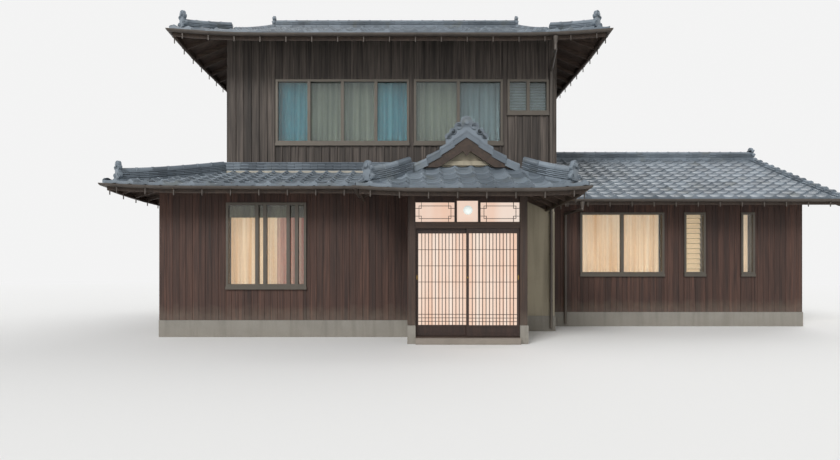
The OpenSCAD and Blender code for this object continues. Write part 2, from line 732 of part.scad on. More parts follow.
// The top of each door stands up in its groove
door_z1 = groove_z - door_clear;
lattice_z0 = door_z0 + kick_h;
lattice_z1 = lintel_z - door_clear - top_rail_h;
tall_row_h = (lattice_z1 - lattice_z0 - short_rows * short_row_h) / tall_rows;
bar_x = [for (i = [1:upright_count]) stile_w + (door_w - 2 * stile_w) * i / (upright_count + 1)];
bar_z = concat(
    [for (i = [0:tall_rows - 1]) lattice_z0 + short_rows * short_row_h + i * tall_row_h],
    [for (i = [1:short_rows - 1]) lattice_z0 + i * short_row_h]
);

// One door, from its outer stile at X = 0, with its face towards the street at Y = 0
module lattice_door() {
    bar_set = 4;
    bar_deep = 14;
    rail_w = 8;
    rail_set = 3;
    kick_rail = 45;
    kick_set = 8;
    middle_rail = 30;
    wheel_in = 140;
    wheel_x = [wheel_in, door_w - wheel_in];
    wheel_wall = 5;
    wheel_gap = 3;
    z0 = lattice_z0;
    z1 = lattice_z1;
    difference() {
        box(0, door_w, 0, door_t, door_z0, door_z1);
        box(stile_w, door_w - stile_w, -1, door_t + 1, z0, z1);
        box(stile_w, door_w - stile_w, -1, kick_set, door_z0 + kick_rail, z0 - middle_rail);
        for (x = wheel_x)
            box(x - wheel_r - wheel_gap, x + wheel_r + wheel_gap, wheel_wall, door_t - wheel_wall,
                door_z0 - 1, sill_top + 2 * wheel_r + wheel_gap);
    }
    for (x = bar_x)
        box(x - upright_w / 2, x + upright_w / 2, bar_set, bar_set + bar_deep, z0 - small, z1 + small);
    for (z = bar_z)
        box(stile_w - small, door_w - stile_w + small, bar_set + rail_set, bar_set + bar_deep,
            z - rail_w / 2, z + rail_w / 2);
    for (x = wheel_x) translate([x, wheel_wall - small, sill_top + seat + wheel_r])
        rotate([-90, 0, 0]) cylinder(r = wheel_r, h = door_t - 2 * wheel_wall + 2 * small);
}

// The pane lies behind the bars
pane_y = 18;
module door_pane()
    box(stile_w, door_w - stile_w, pane_y, pane_y + pane_t, lattice_z0, lattice_z1);

// The left door slides on the inner track and the right door on the outer track
module place_left() translate([-clear_half + door_clear, track_gap / 2, 0]) children();
module place_right() translate([clear_half - door_clear, -track_gap / 2 - door_t, 0]) mirror([1, 0, 0])
    children();
module left_door() color(wood) place_left() lattice_door();
module left_door_pane() color("#f3ddcc") place_left() door_pane();
module right_door() color(wood) place_right() lattice_door();
module right_door_pane() color("#f3ddcc") place_right() door_pane();

// Beams under the upper walls where the ground floor runs out past them
module upper_beams() color(wood) {
    wall_x(upper_left_x - half_wall, right_x + half_wall, upper_front_y, beam_bottom, beam_top);
    wall_y(upper_front_y + half_wall + seat, rear_y - half_wall, upper_left_x, beam_bottom, beam_top);
    wall_y(wing_front_y + half_wall, wing_rear_y - half_wall, right_x, beam_bottom, beam_top);
}

// The posts that carry these beams. The last one stands on the foundation, between two floors
module inner_post(x, y, foot) translate([x, y, foot])
    linear_extrude(beam_bottom - seat - foot) square(inner_post_w, center = true);
module inner_posts() color(wood) {
    for (x = [upper_left_x, -3 * half_ken, -half_ken]) inner_post(x, upper_front_y, ground_floor_z);
    for (y = [4 * half_ken, 6 * half_ken]) inner_post(upper_left_x, y, ground_floor_z);
    inner_post(right_x, wing_mid_y, foundation_h);
}

// The three upper windows lie between posts on the grid
wide_x1 = -half_ken - window_post_w / 2;
wide_x0 = wide_x1 - wide_win_w;
pair_x0 = -half_ken + window_post_w / 2;
pair_x1 = half_ken - window_post_w / 2;
little_x0 = half_ken + window_post_w / 2;
little_x1 = right_x - half_wall;

module upper_front_bands() color(old_board) {
    union() {
        wall_x(upper_left_x - half_wall, right_x + half_wall, upper_front_y, beam_top, upper_sill_z);
        wall_x(little_x0, little_x1, upper_front_y, upper_sill_z - 1, small_sill_z);
    }
    wall_x(upper_left_x - half_wall, right_x + half_wall, upper_front_y, upper_head_z, main_wall_top);
}

module upper_front_posts() color(old_board) {
    wall_x(upper_left_x - half_wall, wide_x0, upper_front_y, upper_sill_z, upper_head_z);
    wall_x(wide_x1, pair_x0, upper_front_y, upper_sill_z, upper_head_z);
    wall_x(pair_x1, little_x0, upper_front_y, upper_sill_z, upper_head_z);
    wall_x(little_x1, right_x + half_wall, upper_front_y, upper_sill_z, upper_head_z);
}

module upper_side_walls() color(old_board) for (x = [upper_left_x, right_x])
    wall_y(upper_front_y + half_wall, rear_y - half_wall, x, beam_top, main_wall_top);

module upper_rear_wall() color(old_board) difference() {
    wall_x(upper_left_x - half_wall, right_x + half_wall, rear_y, beam_top, main_wall_top);
    for (c = rear_upper_wins) window_hole(c, rear_y, upper_sill_z, upper_head_z);
}

// A window is [left, right, sill height, head height, places of its sash stiles]
function pane_edges(w) = concat([w[0] + frame_bar - sash_bar / 2], w[4], [w[1] - frame_bar + sash_bar / 2]);

// A window frame with its sash stiles and its sill, fixed in an opening that faces the street
module window_frame(w) {
    edges = pane_edges(w);
    translate([0, frame_depth, 0]) rotate([90, 0, 0]) linear_extrude(frame_depth) difference() {
        translate([w[0], w[2]]) square([w[1] - w[0], w[3] - w[2]]);
        for (i = [0:len(edges) - 2])
            translate([edges[i] + sash_bar / 2, w[2] + frame_bar])
                square([edges[i + 1] - edges[i] - sash_bar, w[3] - w[2] - 2 * frame_bar]);
    }
    // The sill stops short of the corner pipe
    sill_over = 8;
    box(w[0] - sill_over, w[1] + sill_over, -frame_sill_out, frame_proud - seat, w[2] - frame_sill_h, w[2]);
    box(w[0], w[1], -frame_sill_out, small, w[2] - small, w[2] + frame_sill_out);
}

// The sashes slide past each other, so every second pane lies further back
front_pane = 30;
back_pane = 55;
module window_glass(w) {
    edges = pane_edges(w);
    for (i = [0:len(edges) - 2]) {
        y = i % 2 == 0 ? front_pane : back_pane;
        box(edges[i] + sash_bar / 2, edges[i + 1] - sash_bar / 2, y, y + glass_t,
            w[2] + frame_bar, w[3] - frame_bar);
    }
}
module facing_front(y) translate([0, y - half_wall - frame_proud, 0]) children();
module facing_rear(y) translate([0, y + half_wall + frame_proud, 0]) mirror([0, 1, 0]) children();

function window(x0, x1, z0, z1, sashes) =
    [x0, x1, z0, z1, [for (i = [1:1:sashes - 1]) x0 + (x1 - x0) * i / sashes]];
function rear_windows(centres, z0, z1) =
    [for (c = centres) window(c - rear_win_w / 2, c + rear_win_w / 2, z0, z1, 2)];
upper_windows = [
    window(wide_x0, wide_x1, upper_sill_z, upper_head_z, 4),
    window(pair_x0, pair_x1, upper_sill_z, upper_head_z, 2),
    window(little_x0, little_x1, small_sill_z, upper_head_z, 2)
];
// The sashes of the ground floor window are pushed part way past each other
pushed = [for (share = [0.385, 0.485, 0.775, 0.88]) win_x0 + share * ground_win_w];
ground_windows = [[win_x0, win_x1, ground_sill_z, ground_head_z, pushed]];
wing_wide_x0 = right_x + wing_win_in;
wing_wide_x1 = wing_wide_x0 + wing_win_w;
louvre_x0 = right_x + louvre_in;
louvre_x1 = louvre_x0 + louvre_w;
narrow_x0 = right_x + narrow_in;
narrow_x1 = narrow_x0 + narrow_w;
wing_windows = [
    window(wing_wide_x0, wing_wide_x1, wing_sill_z, ground_head_z, 2),
    window(louvre_x0, louvre_x1, wing_sill_z, ground_head_z, 1),
    window(narrow_x0, narrow_x1, wing_sill_z, ground_head_z, 1)
];

module upper_window_frames() color(bronze) {
    facing_front(upper_front_y) for (w = upper_windows) window_frame(w);
    facing_rear(rear_y) for (w = rear_windows(rear_upper_wins, upper_sill_z, upper_head_z)) window_frame(w);
}
module upper_glass() color("#8fb4c4") {
    facing_front(upper_front_y) for (w = upper_windows) window_glass(w);
    facing_rear(rear_y) for (w = rear_windows(rear_upper_wins, upper_sill_z, upper_head_z)) window_glass(w);
}
module ground_window_frames() color(bronze) {
    facing_front(front_y) for (w = ground_windows) window_frame(w);
    facing_front(wing_front_y) for (w = wing_windows) window_frame(w);
    facing_rear(rear_y)
        for (w = rear_windows(rear_ground_wins, ground_sill_z, ground_head_z)) window_frame(w);
    facing_rear(wing_rear_y)
        for (w = rear_windows(rear_wing_wins, ground_sill_z, ground_head_z)) window_frame(w);
}
module ground_glass() color("#f2d3b0") {
    facing_front(front_y) for (w = ground_windows) window_glass(w);
    facing_front(wing_front_y) for (w = wing_windows) window_glass(w);
    facing_rear(rear_y)
        for (w = rear_windows(rear_ground_wins, ground_sill_z, ground_head_z)) window_glass(w);
    facing_rear(wing_rear_y)
        for (w = rear_windows(rear_wing_wins, ground_sill_z, ground_head_z)) window_glass(w);
}

module wing_front_walls() color(wood) {
    edges = concat([right_x + half_wall], [for (w = wing_windows) each [w[0], w[1]]], [wing_x + half_wall]);
    for (i = [0:2:len(edges) - 2]) wall_x(edges[i], edges[i + 1], wing_front_y, foundation_h, wing_wall_top);
}

module wing_window_walls() color(wood) for (w = wing_windows) {
    wall_x(w[0], w[1], wing_front_y, foundation_h, w[2]);
    wall_x(w[0], w[1], wing_front_y, w[3], wing_wall_top);
}

module wing_end_wall() color(plaster) {
    half = (wing_rear_y - wing_front_y) / 2 - half_wall;
    line = moved(boards_line(wing, wing_rows, wing_run - half, wing_run), -wing_run);
    translate([wing_x - half_wall, wing_mid_y, 0]) rotate([90, 0, 90]) linear_extrude(wall_t)
        polygon(concat([[-half, foundation_h]], line, mirrored(line), [[half, foundation_h]]));
}

module wing_rear_wall() color(wood) difference() {
    wall_x(right_x + half_wall, wing_x + half_wall, wing_rear_y, foundation_h, wing_wall_top);
    for (c = rear_wing_wins) window_hole(c, wing_rear_y, ground_sill_z, ground_head_z);
}

main_w = main_x1 - main_x0;
main_d = main_y1 - main_y0;
main_long = [main_w, main_rows, eave_columns, main_verge_in, main_verge_in, no_tuck];
main_short = [main_d, main_skirt_rows, eave_columns, main_run, main_run, main_verge_in];
// The first child is a slope along the street, the second a skirt at an end
module main_slopes() {
    on_front(main_x0, main_y0) children(0);
    on_rear(main_x1, main_y1) children(0);
    on_left(main_x0, main_y1) children(1);
    on_right(main_x1, main_y0) children(1);
}
module main_corners() for (x = [0, 1], y = [0, 1])
    translate([x == 0 ? main_x0 : main_x1, y == 0 ? main_y0 : main_y1, 0])
        mirror([x, 0, 0]) mirror([0, y, 0]) children();

module main_roof_tiles() color(tile_grey) main_slopes() {
    tile_slope(main, main_long);
    tile_slope(main, main_short);
}
module main_roof_deck() color(wood) {
    main_slopes() {
        deck_slope(main, main_long, main_overhang);
        deck_slope(main, main_short, main_overhang);
    }
    main_corners() hip_rafter(main, main_rows, main_overhang - half_wall - seat);
}

main_ridge_z = rise(main, main_run) + seat;
module main_ridges() color(tile_grey) {
    half = main_w / 2 - main_verge_in;
    translate([(main_x0 + main_x1) / 2, main_mid_y, main_ridge_z]) for (side = [0, 1]) mirror([side, 0, 0])
        rotate([90, 0, 90]) {
            linear_extrude(half - end_tile_t / 2) ridge_outline(3, ridge_w, top_fall(main, main_rows));
            translate([0, 0, half - end_tile_t]) end_ornament(end_tile_w, end_tile_h, end_tile_t);
        }
    main_corners() hip_ridge(main, main_rows, main_verge_in - 60, 3);
}

// A gable wall under the ends of a ridge, whose foot is hidden behind the skirt tiles
gable_t = 60;
module gable_outline(r, rows, run, gable_in) {
    half = run - gable_in;
    base = under_boards(r, gable_in) - tile_t - board_t;
    line = moved(boards_line(r, rows, gable_in, run), -run);
    polygon(concat([[-half, base]], line, mirrored(line), [[half, base]]));
}
module main_gable_walls() color(plaster)
    for (x = [main_x0 + main_gable_in, main_x1 - main_gable_in - gable_t])
        translate([x, main_mid_y, 0]) rotate([90, 0, 90]) linear_extrude(gable_t)
            gable_outline(main, main_rows, main_run, main_gable_in);

// Keeps one side of the valley between the pent roof and the porch roof. beyond is past the
// house on every side
beyond = 20000;
module valley_side(pent_side) {
    edge = pent_side ? -seat : seat;
    foot = valley_foot + [edge, pent_side ? 0 : -2 * seat];
    head = valley_head + [edge, 0];
    linear_extrude(main_eave_z) polygon(concat(
        pent_side ? [[foot[0], -beyond]] : [[-beyond, foot[1]]],
        [foot, head, [head[0], beyond]],
        pent_side ? [[-beyond, beyond], [-beyond, -beyond]]
            : [[beyond, beyond], [beyond, -beyond], [-beyond, -beyond]]
    ));
}

function reverse_columns(c) = [for (i = [len(c) - 1:-1:0]) 1 - c[i]];
pent_front_w = valley_head[0] - pent_x0 + tile_t;
pent_d = pent_y1 - pent_y0;
pent_front = [pent_front_w, pent_rows, one_corner_columns, pent_run, 0, no_tuck];
pent_side = [pent_d, pent_rows, reverse_columns(one_corner_columns), 0, pent_run, no_tuck];
module pent_slopes() {
    intersection() {
        on_front(pent_x0, pent_y0) children(0);
        valley_side(true);
    }
    on_left(pent_x0, pent_y1) children(1);
}
module pent_roof_tiles() color(tile_grey) pent_slopes() {
    tile_slope(pent, pent_front);
    tile_slope(pent, pent_side);
}
module pent_roof_deck() color(wood) {
    pent_slopes() {
        deck_slope(pent, pent_front, pent_overhang);
        deck_slope(pent, pent_side, pent_overhang);
    }
    translate([pent_x0, pent_y0, 0]) hip_rafter(pent, pent_rows, pent_overhang - half_wall - seat);
}

// Flashing where a roof ends against a wall: flat courses, each set back over the one below
module flashing_outline(courses) for (i = [0:courses - 1])
    translate([0, i == 0 ? 0 : i * course_h - small])
        square([ridge_w / 2 - i * course_set, course_h + (i == 0 ? 0 : small)]);

// The flashing lies along the front of the upper storey and round its left corner
module pent_ridge() color(tile_grey) {
    translate([pent_x0, pent_y0, 0]) hip_ridge(pent, pent_rows, pent_run - ridge_w / 2 - 15, 4);
    wall_x0 = upper_left_x - half_wall - seat;
    wall_y0 = upper_front_y - half_wall - seat;
    z = rise(pent, pent_run) + seat;
    end_x = valley_head[0] - ridge_w / 2;
    union() {
        translate([wall_x0, wall_y0, z]) rotate([90, 0, 90]) linear_extrude(end_x - wall_x0)
            mirror([1, 0]) flashing_outline(flashing_courses);
        translate([wall_x0, pent_y1, z]) rotate([90, 0, 0]) linear_extrude(pent_y1 - wall_y0)
            mirror([1, 0]) flashing_outline(flashing_courses);
        translate([wall_x0, wall_y0, z]) intersection() {
            translate([-ridge_w, -ridge_w, 0]) cube([ridge_w, ridge_w, flashing_courses * course_h]);
            for (i = [0:flashing_courses - 1]) let (w = ridge_w / 2 - i * course_set)
                translate([-w, -w, i * course_h]) cube([w, w, course_h]);
        }
    }
}

porch_w = 2 * porch_x1;
porch_d = porch_y1 - porch_y0;
porch_front = [porch_w, porch_skirt_rows, porch_columns, porch_run, porch_run, porch_verge_in];
porch_left = [porch_d, porch_rows, reverse_columns(one_corner_columns), 0, porch_verge_in, no_tuck];
porch_right = [porch_d, porch_rows, one_corner_columns, porch_verge_in, 0, no_tuck];
module porch_slopes() {
    on_front(-porch_x1, porch_y0) children(0);
    intersection() {
        on_left(-porch_x1, porch_y1) children(1);
        valley_side(false);
    }
    on_right(porch_x1, porch_y0) children(2);
}
module porch_corners() for (side = [0, 1])
    mirror([side, 0, 0]) translate([-porch_x1, porch_y0, 0]) children();

module porch_roof_tiles() color(tile_grey) porch_slopes() {
    tile_slope(porch, porch_front);
    tile_slope(porch, porch_left);
    tile_slope(porch, porch_right);
}
module porch_roof_deck() color(wood) {
    porch_slopes() {
        deck_slope(porch, porch_front, porch_front_overhang);
        deck_slope(porch, porch_left, porch_side_overhang);
        deck_slope(porch, porch_right, porch_side_overhang);
    }
    porch_corners() hip_rafter(porch, porch_rows, porch_front_overhang - half_wall - seat);
}

porch_verge_y = porch_y0 + porch_verge_in;
porch_ridge_z = rise(porch, porch_run) + seat;
// The tile over the porch gable: a crown from which round shoulders step down both verges. Its
// places and sizes are in parts of the radius of the crown
module gable_tile(fall) {
    r = crown_tile_r;
    crown_z = 1.3 * r;
    foot_x = 3.3 * r;
    // Across, up and radius of each shoulder
    shoulders = [[1.24, 0.62, 0.69], [2.14, -0.24, 0.63], [2.86, -0.95, 0.55]];
    side_z = -1.3 * r;
    relief = end_tile_t / 6;
    linear_extrude(end_tile_t) {
        translate([0, crown_z]) circle(r);
        for (side = [-1, 1], s = shoulders) translate([side * s[0] * r, s[1] * r]) circle(s[2] * r);
        polygon([
            [0, 0], [-foot_x, -foot_x * fall], [-foot_x, side_z], [-shoulders[0][0] * r, crown_z],
            [shoulders[0][0] * r, crown_z], [foot_x, side_z], [foot_x, -foot_x * fall]
        ]);
    }
    for (tier = [1, 2]) translate([0, crown_z, 0])
        cylinder(r = r * (1 - tier / 4), h = end_tile_t + tier * relief);
    for (side = [-1, 1], s = shoulders) translate([side * s[0] * r, s[1] * r, 0])
        cylinder(r = s[2] * r * 0.6, h = end_tile_t + relief);
}
module porch_ridges() color(tile_grey) {
    fall = top_fall(porch, porch_rows);
    front_y = porch_verge_y + 50;
    // The straight ridge stops at the sill of the window over it
    back_y = porch_y1 - frame_proud - frame_sill_out;
    translate([0, back_y, porch_ridge_z]) rotate([90, 0, 0])
        linear_extrude(back_y - front_y - seat) ridge_outline(2, ridge_w, fall);
    translate([0, front_y, porch_ridge_z]) rotate([90, 0, 0]) gable_tile(fall);
    porch_corners() hip_ridge(porch, porch_rows, porch_verge_in - 30, 5);
}

// The plaster gable over the doors, with a ledge along its foot
module porch_gable_wall() translate([0, porch_y0 + porch_gable_in, 0]) rotate([90, 0, 0]) {
    color(plaster) translate([0, 0, -gable_t])
        linear_extrude(gable_t) gable_outline(porch, porch_rows, porch_run, porch_gable_in);
    ledge_out = 45;
    color(wood) translate([0, 0, seat]) linear_extrude(ledge_out) intersection() {
        gable_outline(porch, porch_rows, porch_run, porch_gable_in);
        translate([-porch_run, rise(porch, porch_gable_in) + seat]) square([2 * porch_run, ledge_h]);
    }
}

wing_w = wing_x1 - wing_x0;
wing_long = [wing_w, wing_rows, [0, 1], 0, 0, no_tuck];
module wing_slopes() {
    on_front(wing_x0, wing_y0) children();
    on_rear(wing_x1, wing_y1) children();
}
module wing_roof_tiles() color(tile_grey) wing_slopes() tile_slope(wing, wing_long);
module wing_roof_deck() color(wood) wing_slopes() deck_slope(wing, wing_long, wing_overhang);
module wing_ridge() color(tile_grey)
    translate([wing_x0, wing_mid_y, rise(wing, wing_run) + seat]) rotate([90, 0, 90]) {
        linear_extrude(wing_w - end_tile_t / 2) ridge_outline(3, ridge_w, top_fall(wing, wing_rows));
        translate([0, 0, wing_w - end_tile_t]) end_ornament(end_tile_w, end_tile_h, end_tile_t);
    }

// Height of the tile face between the rows of a slope, away from any corner
function rise_between(r, rows, u) = let (
        i = max([for (k = [0:len(rows) - 2]) rows[k] <= u ? k : 0]),
        share = (u - rows[i]) / (rows[i + 1] - rows[i])
    ) (1 - share) * rise(r, rows[i]) + share * rise(r, rows[i + 1]);

// A pair of boards under the verge, deeper towards the ridge, with a pendant at the peak. The
// boards run from run u0 up to the ridge and stop on a skirt roof whose tile face is at foot_z
module bargeboard_pair(r, rows, u0, foot_z) {
    run = rows[len(rows) - 1] + seat;
    breaks = concat([u0], [for (u = rows) if (u > u0 + 20) u]);
    n = len(breaks) - 1;
    top = [for (u = breaks) [u - run, rise_between(r, rows, u) - tile_t - board_t - seat]];
    depth = [for (u = breaks) bargeboard_h * (0.6 + 0.4 * (u - u0) / (run - u0))];
    peak = [0, top[n][1]];
    linear_extrude(bargeboard_t) intersection() {
        for (side = [0, 1]) mirror([side, 0]) polygon(concat(
            top, [peak, peak - [0, depth[n]]], [for (k = [n:-1:0]) top[k] - [0, depth[k]]]
        ));
        translate([-run, foot_z]) square([2 * run, beyond]);
    }
    // The pendant: a shield with two lobes, a waist and a round foot
    pendant_out = 22;
    lobe_r = pendant_w * 0.27;
    translate([0, peak[1] - bargeboard_h - pendant_h * 0.1, bargeboard_t - small]) {
        linear_extrude(pendant_out) {
            for (side = [-1, 1]) translate([side * (pendant_w / 2 - lobe_r), 0]) circle(lobe_r);
            circle(pendant_w * 0.33);
            translate([0, -pendant_h * 0.3]) circle(pendant_w * 0.24);
            translate([-pendant_w * 0.14, -pendant_h * 0.3]) square([pendant_w * 0.28, pendant_h * 0.6]);
        }
        cylinder(r = pendant_w * 0.13, h = pendant_out + 8, $fn = 24);
    }
}
// The boards stand a little in from the verge, and start just up the slope from the skirt
barge_in = 10;
barge_start = 60;
function barge_foot(r, verge_in) = rise(r, verge_in + barge_in + bargeboard_t) + 3;
module bargeboards() color(wood) {
    main_half = main_w / 2 - main_verge_in - barge_in - bargeboard_t;
    translate([(main_x0 + main_x1) / 2, main_mid_y, 0]) for (side = [0, 1]) mirror([side, 0, 0])
        translate([main_half, 0, 0]) rotate([90, 0, 90])
            bargeboard_pair(main, main_rows, main_verge_in + barge_start, barge_foot(main, main_verge_in));
    translate([0, porch_verge_y + barge_in + bargeboard_t, 0]) rotate([90, 0, 0])
        bargeboard_pair(porch, porch_rows, porch_verge_in + barge_start, barge_foot(porch, porch_verge_in));
    translate([wing_x1 - barge_in - bargeboard_t, wing_mid_y, 0]) rotate([90, 0, 90])
        bargeboard_pair(wing, wing_rows, tile_lip + fascia_t, 0);
}

module fascia_boards() color(wood) {
    main_slopes() {
        fascia(main, main_long);
        fascia(main, main_short);
    }
    pent_slopes() {
        fascia(pent, pent_front);
        fascia(pent, pent_side);
    }
    porch_slopes() {
        fascia(porch, porch_front);
        fascia(porch, porch_left);
        fascia(porch, porch_right);
    }
    wing_slopes() fascia(wing, wing_long);
}

// A half-round gutter held against the fascia. trim_low and trim_high shorten its ends, and
// where one is 0 it is cut to meet the gutter round the hip
gutter_u = tile_lip - seat - gutter_r;
gutter_drop = tile_t + 8;
module gutter(r, s, trim_low = 0, trim_high = 0) {
    inner = gutter_r - gutter_t;
    ring = concat(
        [for (a = [180:30:360]) [gutter_r * cos(a), gutter_r * sin(a)]],
        [for (a = [360:-30:180]) [inner * cos(a), inner * sin(a)]]
    );
    function start(u) = trim_low > 0 ? trim_low : u + seat;
    function end(u) = s[0] - (trim_high > 0 ? trim_high : u + seat);
    skin([for (c = s[2]) [for (p = ring) let (
            u = gutter_u + p[0],
            x = start(u) + (end(u) - start(u)) * c
        ) [x, u, slope_z(r, s, x, tile_lip) - gutter_drop + p[1]]]]);
}

// A pipe from one point to the next, with a collar at every bend
module pipe_run(points) {
    for (i = [0:len(points) - 2]) let (d = points[i + 1] - points[i])
        translate(points[i]) rotate([0, acos(d[2] / norm(d)), atan2(d[1], d[0])])
            cylinder(r = downpipe_r, h = norm(d));
    for (i = [1:len(points) - 2]) translate(points[i]) sphere(downpipe_r + 3);
}

// A downpipe: a hopper under the gutter at the outlet, a neck that falls back to the wall, and
// the pipe down the wall. drop is how far the neck starts below the gutter
hopper_h = 140;
pipe_foot = 60;
module downpipe(outlet, wall, drop, fall) {
    neck = [outlet[0], outlet[1], outlet[2] - drop];
    translate([outlet[0], outlet[1], outlet[2] - hopper_h])
        cylinder(r1 = downpipe_r, r2 = gutter_r, h = hopper_h);
    pipe_run([
        outlet - [0, 0, hopper_h / 2], neck,
        [wall[0], wall[1], neck[2] - fall], [wall[0], wall[1], pipe_foot]
    ]);
}
// The pipes stand against the foundation
pipe_set = foundation_w / 2 + downpipe_r + seat;
function under_gutter(r) = rise(r, tile_lip) - gutter_drop - gutter_r - seat;
module gutters() color(bronze) {
    main_slopes() {
        gutter(main, main_long);
        gutter(main, main_short);
    }
    wall_end = 60;
    on_front(pent_x0, pent_y0) gutter(pent, pent_front, 0, pent_front_w + porch_x1 - wall_end + pent_x0);
    on_left(pent_x0, pent_y1) gutter(pent, pent_side, wall_end, 0);
    on_front(-porch_x1, porch_y0) gutter(porch, porch_front);
    on_right(porch_x1, porch_y0) gutter(porch, porch_right, 0, 2 * wall_end + gutter_r);
    // The short one on the left stops in front of the pent roof
    on_left(-porch_x1, porch_y1) gutter(porch, porch_left, porch_y1 - pent_y0 + wall_end, 0);
    wing_slopes() gutter(wing, wing_long, wall_end, wall_end);

    // Each pipe is this far in from the corner of the block, and its outlet a little further
    corner_in = 20;
    outlet_in = 130;
    main_z = under_gutter(main);
    neck_drop = 230;
    neck_fall = 120;
    downpipe([right_x - outlet_in, main_y0 + gutter_u, main_z],
        [right_x - corner_in, upper_front_y - pipe_set], neck_drop, neck_fall);
    downpipe([upper_left_x + outlet_in, main_y1 - gutter_u, main_z],
        [upper_left_x + corner_in, rear_y + pipe_set], neck_drop, neck_fall);
    // Those of the wing stand this far along it
    wing_pipe = 510;
    wing_outlet = 665;
    wing_z = under_gutter(wing);
    wing_drop = 150;
    wing_fall = 30;
    downpipe([right_x + wing_outlet, wing_y0 + gutter_u, wing_z],
        [right_x + wing_pipe, wing_front_y - pipe_set], wing_drop, wing_fall);
    downpipe([wing_x - wing_outlet, wing_y1 - gutter_u, wing_z],
        [wing_x - wing_pipe, wing_rear_y + pipe_set], wing_drop, wing_fall);
}

foundation();
entrance_slab();
ground_floor();
upper_floor();
ground_front_walls();
ground_window_walls();
ground_side_walls();
ground_rear_wall();
porch_walls();
porch_posts();
door_frame();
transom_lattice();
transom_panes();
porch_lamp();
left_door();
left_door_pane();
right_door();
right_door_pane();
upper_beams();
inner_posts();
upper_front_bands();
upper_front_posts();
upper_side_walls();
upper_rear_wall();
upper_window_frames();
upper_glass();
ground_window_frames();
ground_glass();
wing_front_walls();
wing_window_walls();
wing_end_wall();
wing_rear_wall();
main_roof_tiles();
main_roof_deck();
main_ridges();
main_gable_walls();
pent_roof_tiles();
pent_roof_deck();
pent_ridge();
porch_roof_tiles();
porch_roof_deck();
porch_ridges();
porch_gable_wall();
wing_roof_tiles();
wing_roof_deck();
wing_ridge();
bargeboards();
fascia_boards();
gutters();
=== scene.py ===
import math
import random
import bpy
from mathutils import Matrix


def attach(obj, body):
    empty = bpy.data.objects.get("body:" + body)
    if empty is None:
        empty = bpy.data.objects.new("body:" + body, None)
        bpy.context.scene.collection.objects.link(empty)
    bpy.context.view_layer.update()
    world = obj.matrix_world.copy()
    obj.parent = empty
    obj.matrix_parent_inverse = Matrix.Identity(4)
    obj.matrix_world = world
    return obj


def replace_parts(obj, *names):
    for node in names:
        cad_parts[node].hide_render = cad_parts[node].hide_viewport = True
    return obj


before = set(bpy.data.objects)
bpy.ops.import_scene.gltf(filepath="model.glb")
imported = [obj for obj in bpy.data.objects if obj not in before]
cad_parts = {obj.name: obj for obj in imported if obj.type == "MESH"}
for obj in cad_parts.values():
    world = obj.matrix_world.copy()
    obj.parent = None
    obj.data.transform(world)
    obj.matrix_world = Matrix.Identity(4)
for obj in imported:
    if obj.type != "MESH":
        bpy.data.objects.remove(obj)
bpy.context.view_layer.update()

from types import SimpleNamespace

import bpy
import numpy as np
from mathutils import Matrix, Vector

bpy.ops.object.select_all(action="DESELECT")

# The foundation
# Strips of poured concrete, 15 cm wide, that lift the sills of the house off the damp ground.
# The face is grey, a little blotched, and darker where rain splashes back from the ground.


def tint(code):
    """The linear colour of a screen colour such as #808080."""
    parts = [int(code[i:i + 2], 16) / 255 for i in (1, 3, 5)]
    return (*[p / 12.92 if p <= 0.04045 else ((p + 0.055) / 1.055) ** 2.4 for p in parts], 1.0)


def add_node(tree, kind, inputs=None, **settings):
    """Adds a shader node. An input is a plain value, or the output of another node."""
    made = tree.nodes.new("ShaderNode" + kind)
    for name, value in settings.items():
        setattr(made, name, value)
    for name, value in (inputs or {}).items():
        if isinstance(value, bpy.types.NodeSocket):
            tree.links.new(value, made.inputs[name])
        else:
            made.inputs[name].default_value = value
    return made


def link(tree, sockets, **values):
    """Links outputs to sockets by their names, with _ for a space."""
    for name, value in values.items():
        tree.links.new(value, sockets[name.replace("_", " ")])


def calculate(tree, operation, first, second=0.0, third=0.0):
    return add_node(tree, "Math", {0: first, 1: second, 2: third}, operation=operation).outputs[0]


def stretch(tree, value, low, high, to_low=0.0, to_high=1.0):
    """Maps low and high to two new values, and keeps to them outside that range."""
    inputs = {"Value": value, "From Min": low, "From Max": high, "To Min": to_low, "To Max": to_high}
    return add_node(tree, "MapRange", inputs, clamp=True).outputs[0]


def mix_colours(tree, share, first, second, mode="MIX"):
    inputs = {0: share, 6: first, 7: second}
    return add_node(tree, "Mix", inputs, data_type="RGBA", blend_type=mode).outputs[2]


def noise(tree, vector, scale, detail=3.0, distortion=0.0):
    inputs = {"Vector": vector, "Scale": scale, "Detail": detail, "Distortion": distortion}
    return add_node(tree, "TexNoise", inputs).outputs[0]


def scaled(tree, vector, size, turn=(0, 0, 0)):
    return add_node(tree, "Mapping", {"Vector": vector, "Scale": size, "Rotation": turn}).outputs[0]


def new_group(name, inputs, outputs):
    """An empty node group with its named sockets, as (tree, what comes in, what goes out)."""
    tree = bpy.data.node_groups.new(name, "ShaderNodeTree")
    for way, sockets in (("INPUT", inputs), ("OUTPUT", outputs)):
        for label, kind in sockets.items():
            tree.interface.new_socket(label, in_out=way, socket_type="NodeSocket" + kind)
    return tree, tree.nodes.new("NodeGroupInput").outputs, tree.nodes.new("NodeGroupOutput").inputs


def use_group(tree, group, **inputs):
    return add_node(tree, "Group", inputs, node_tree=group).outputs


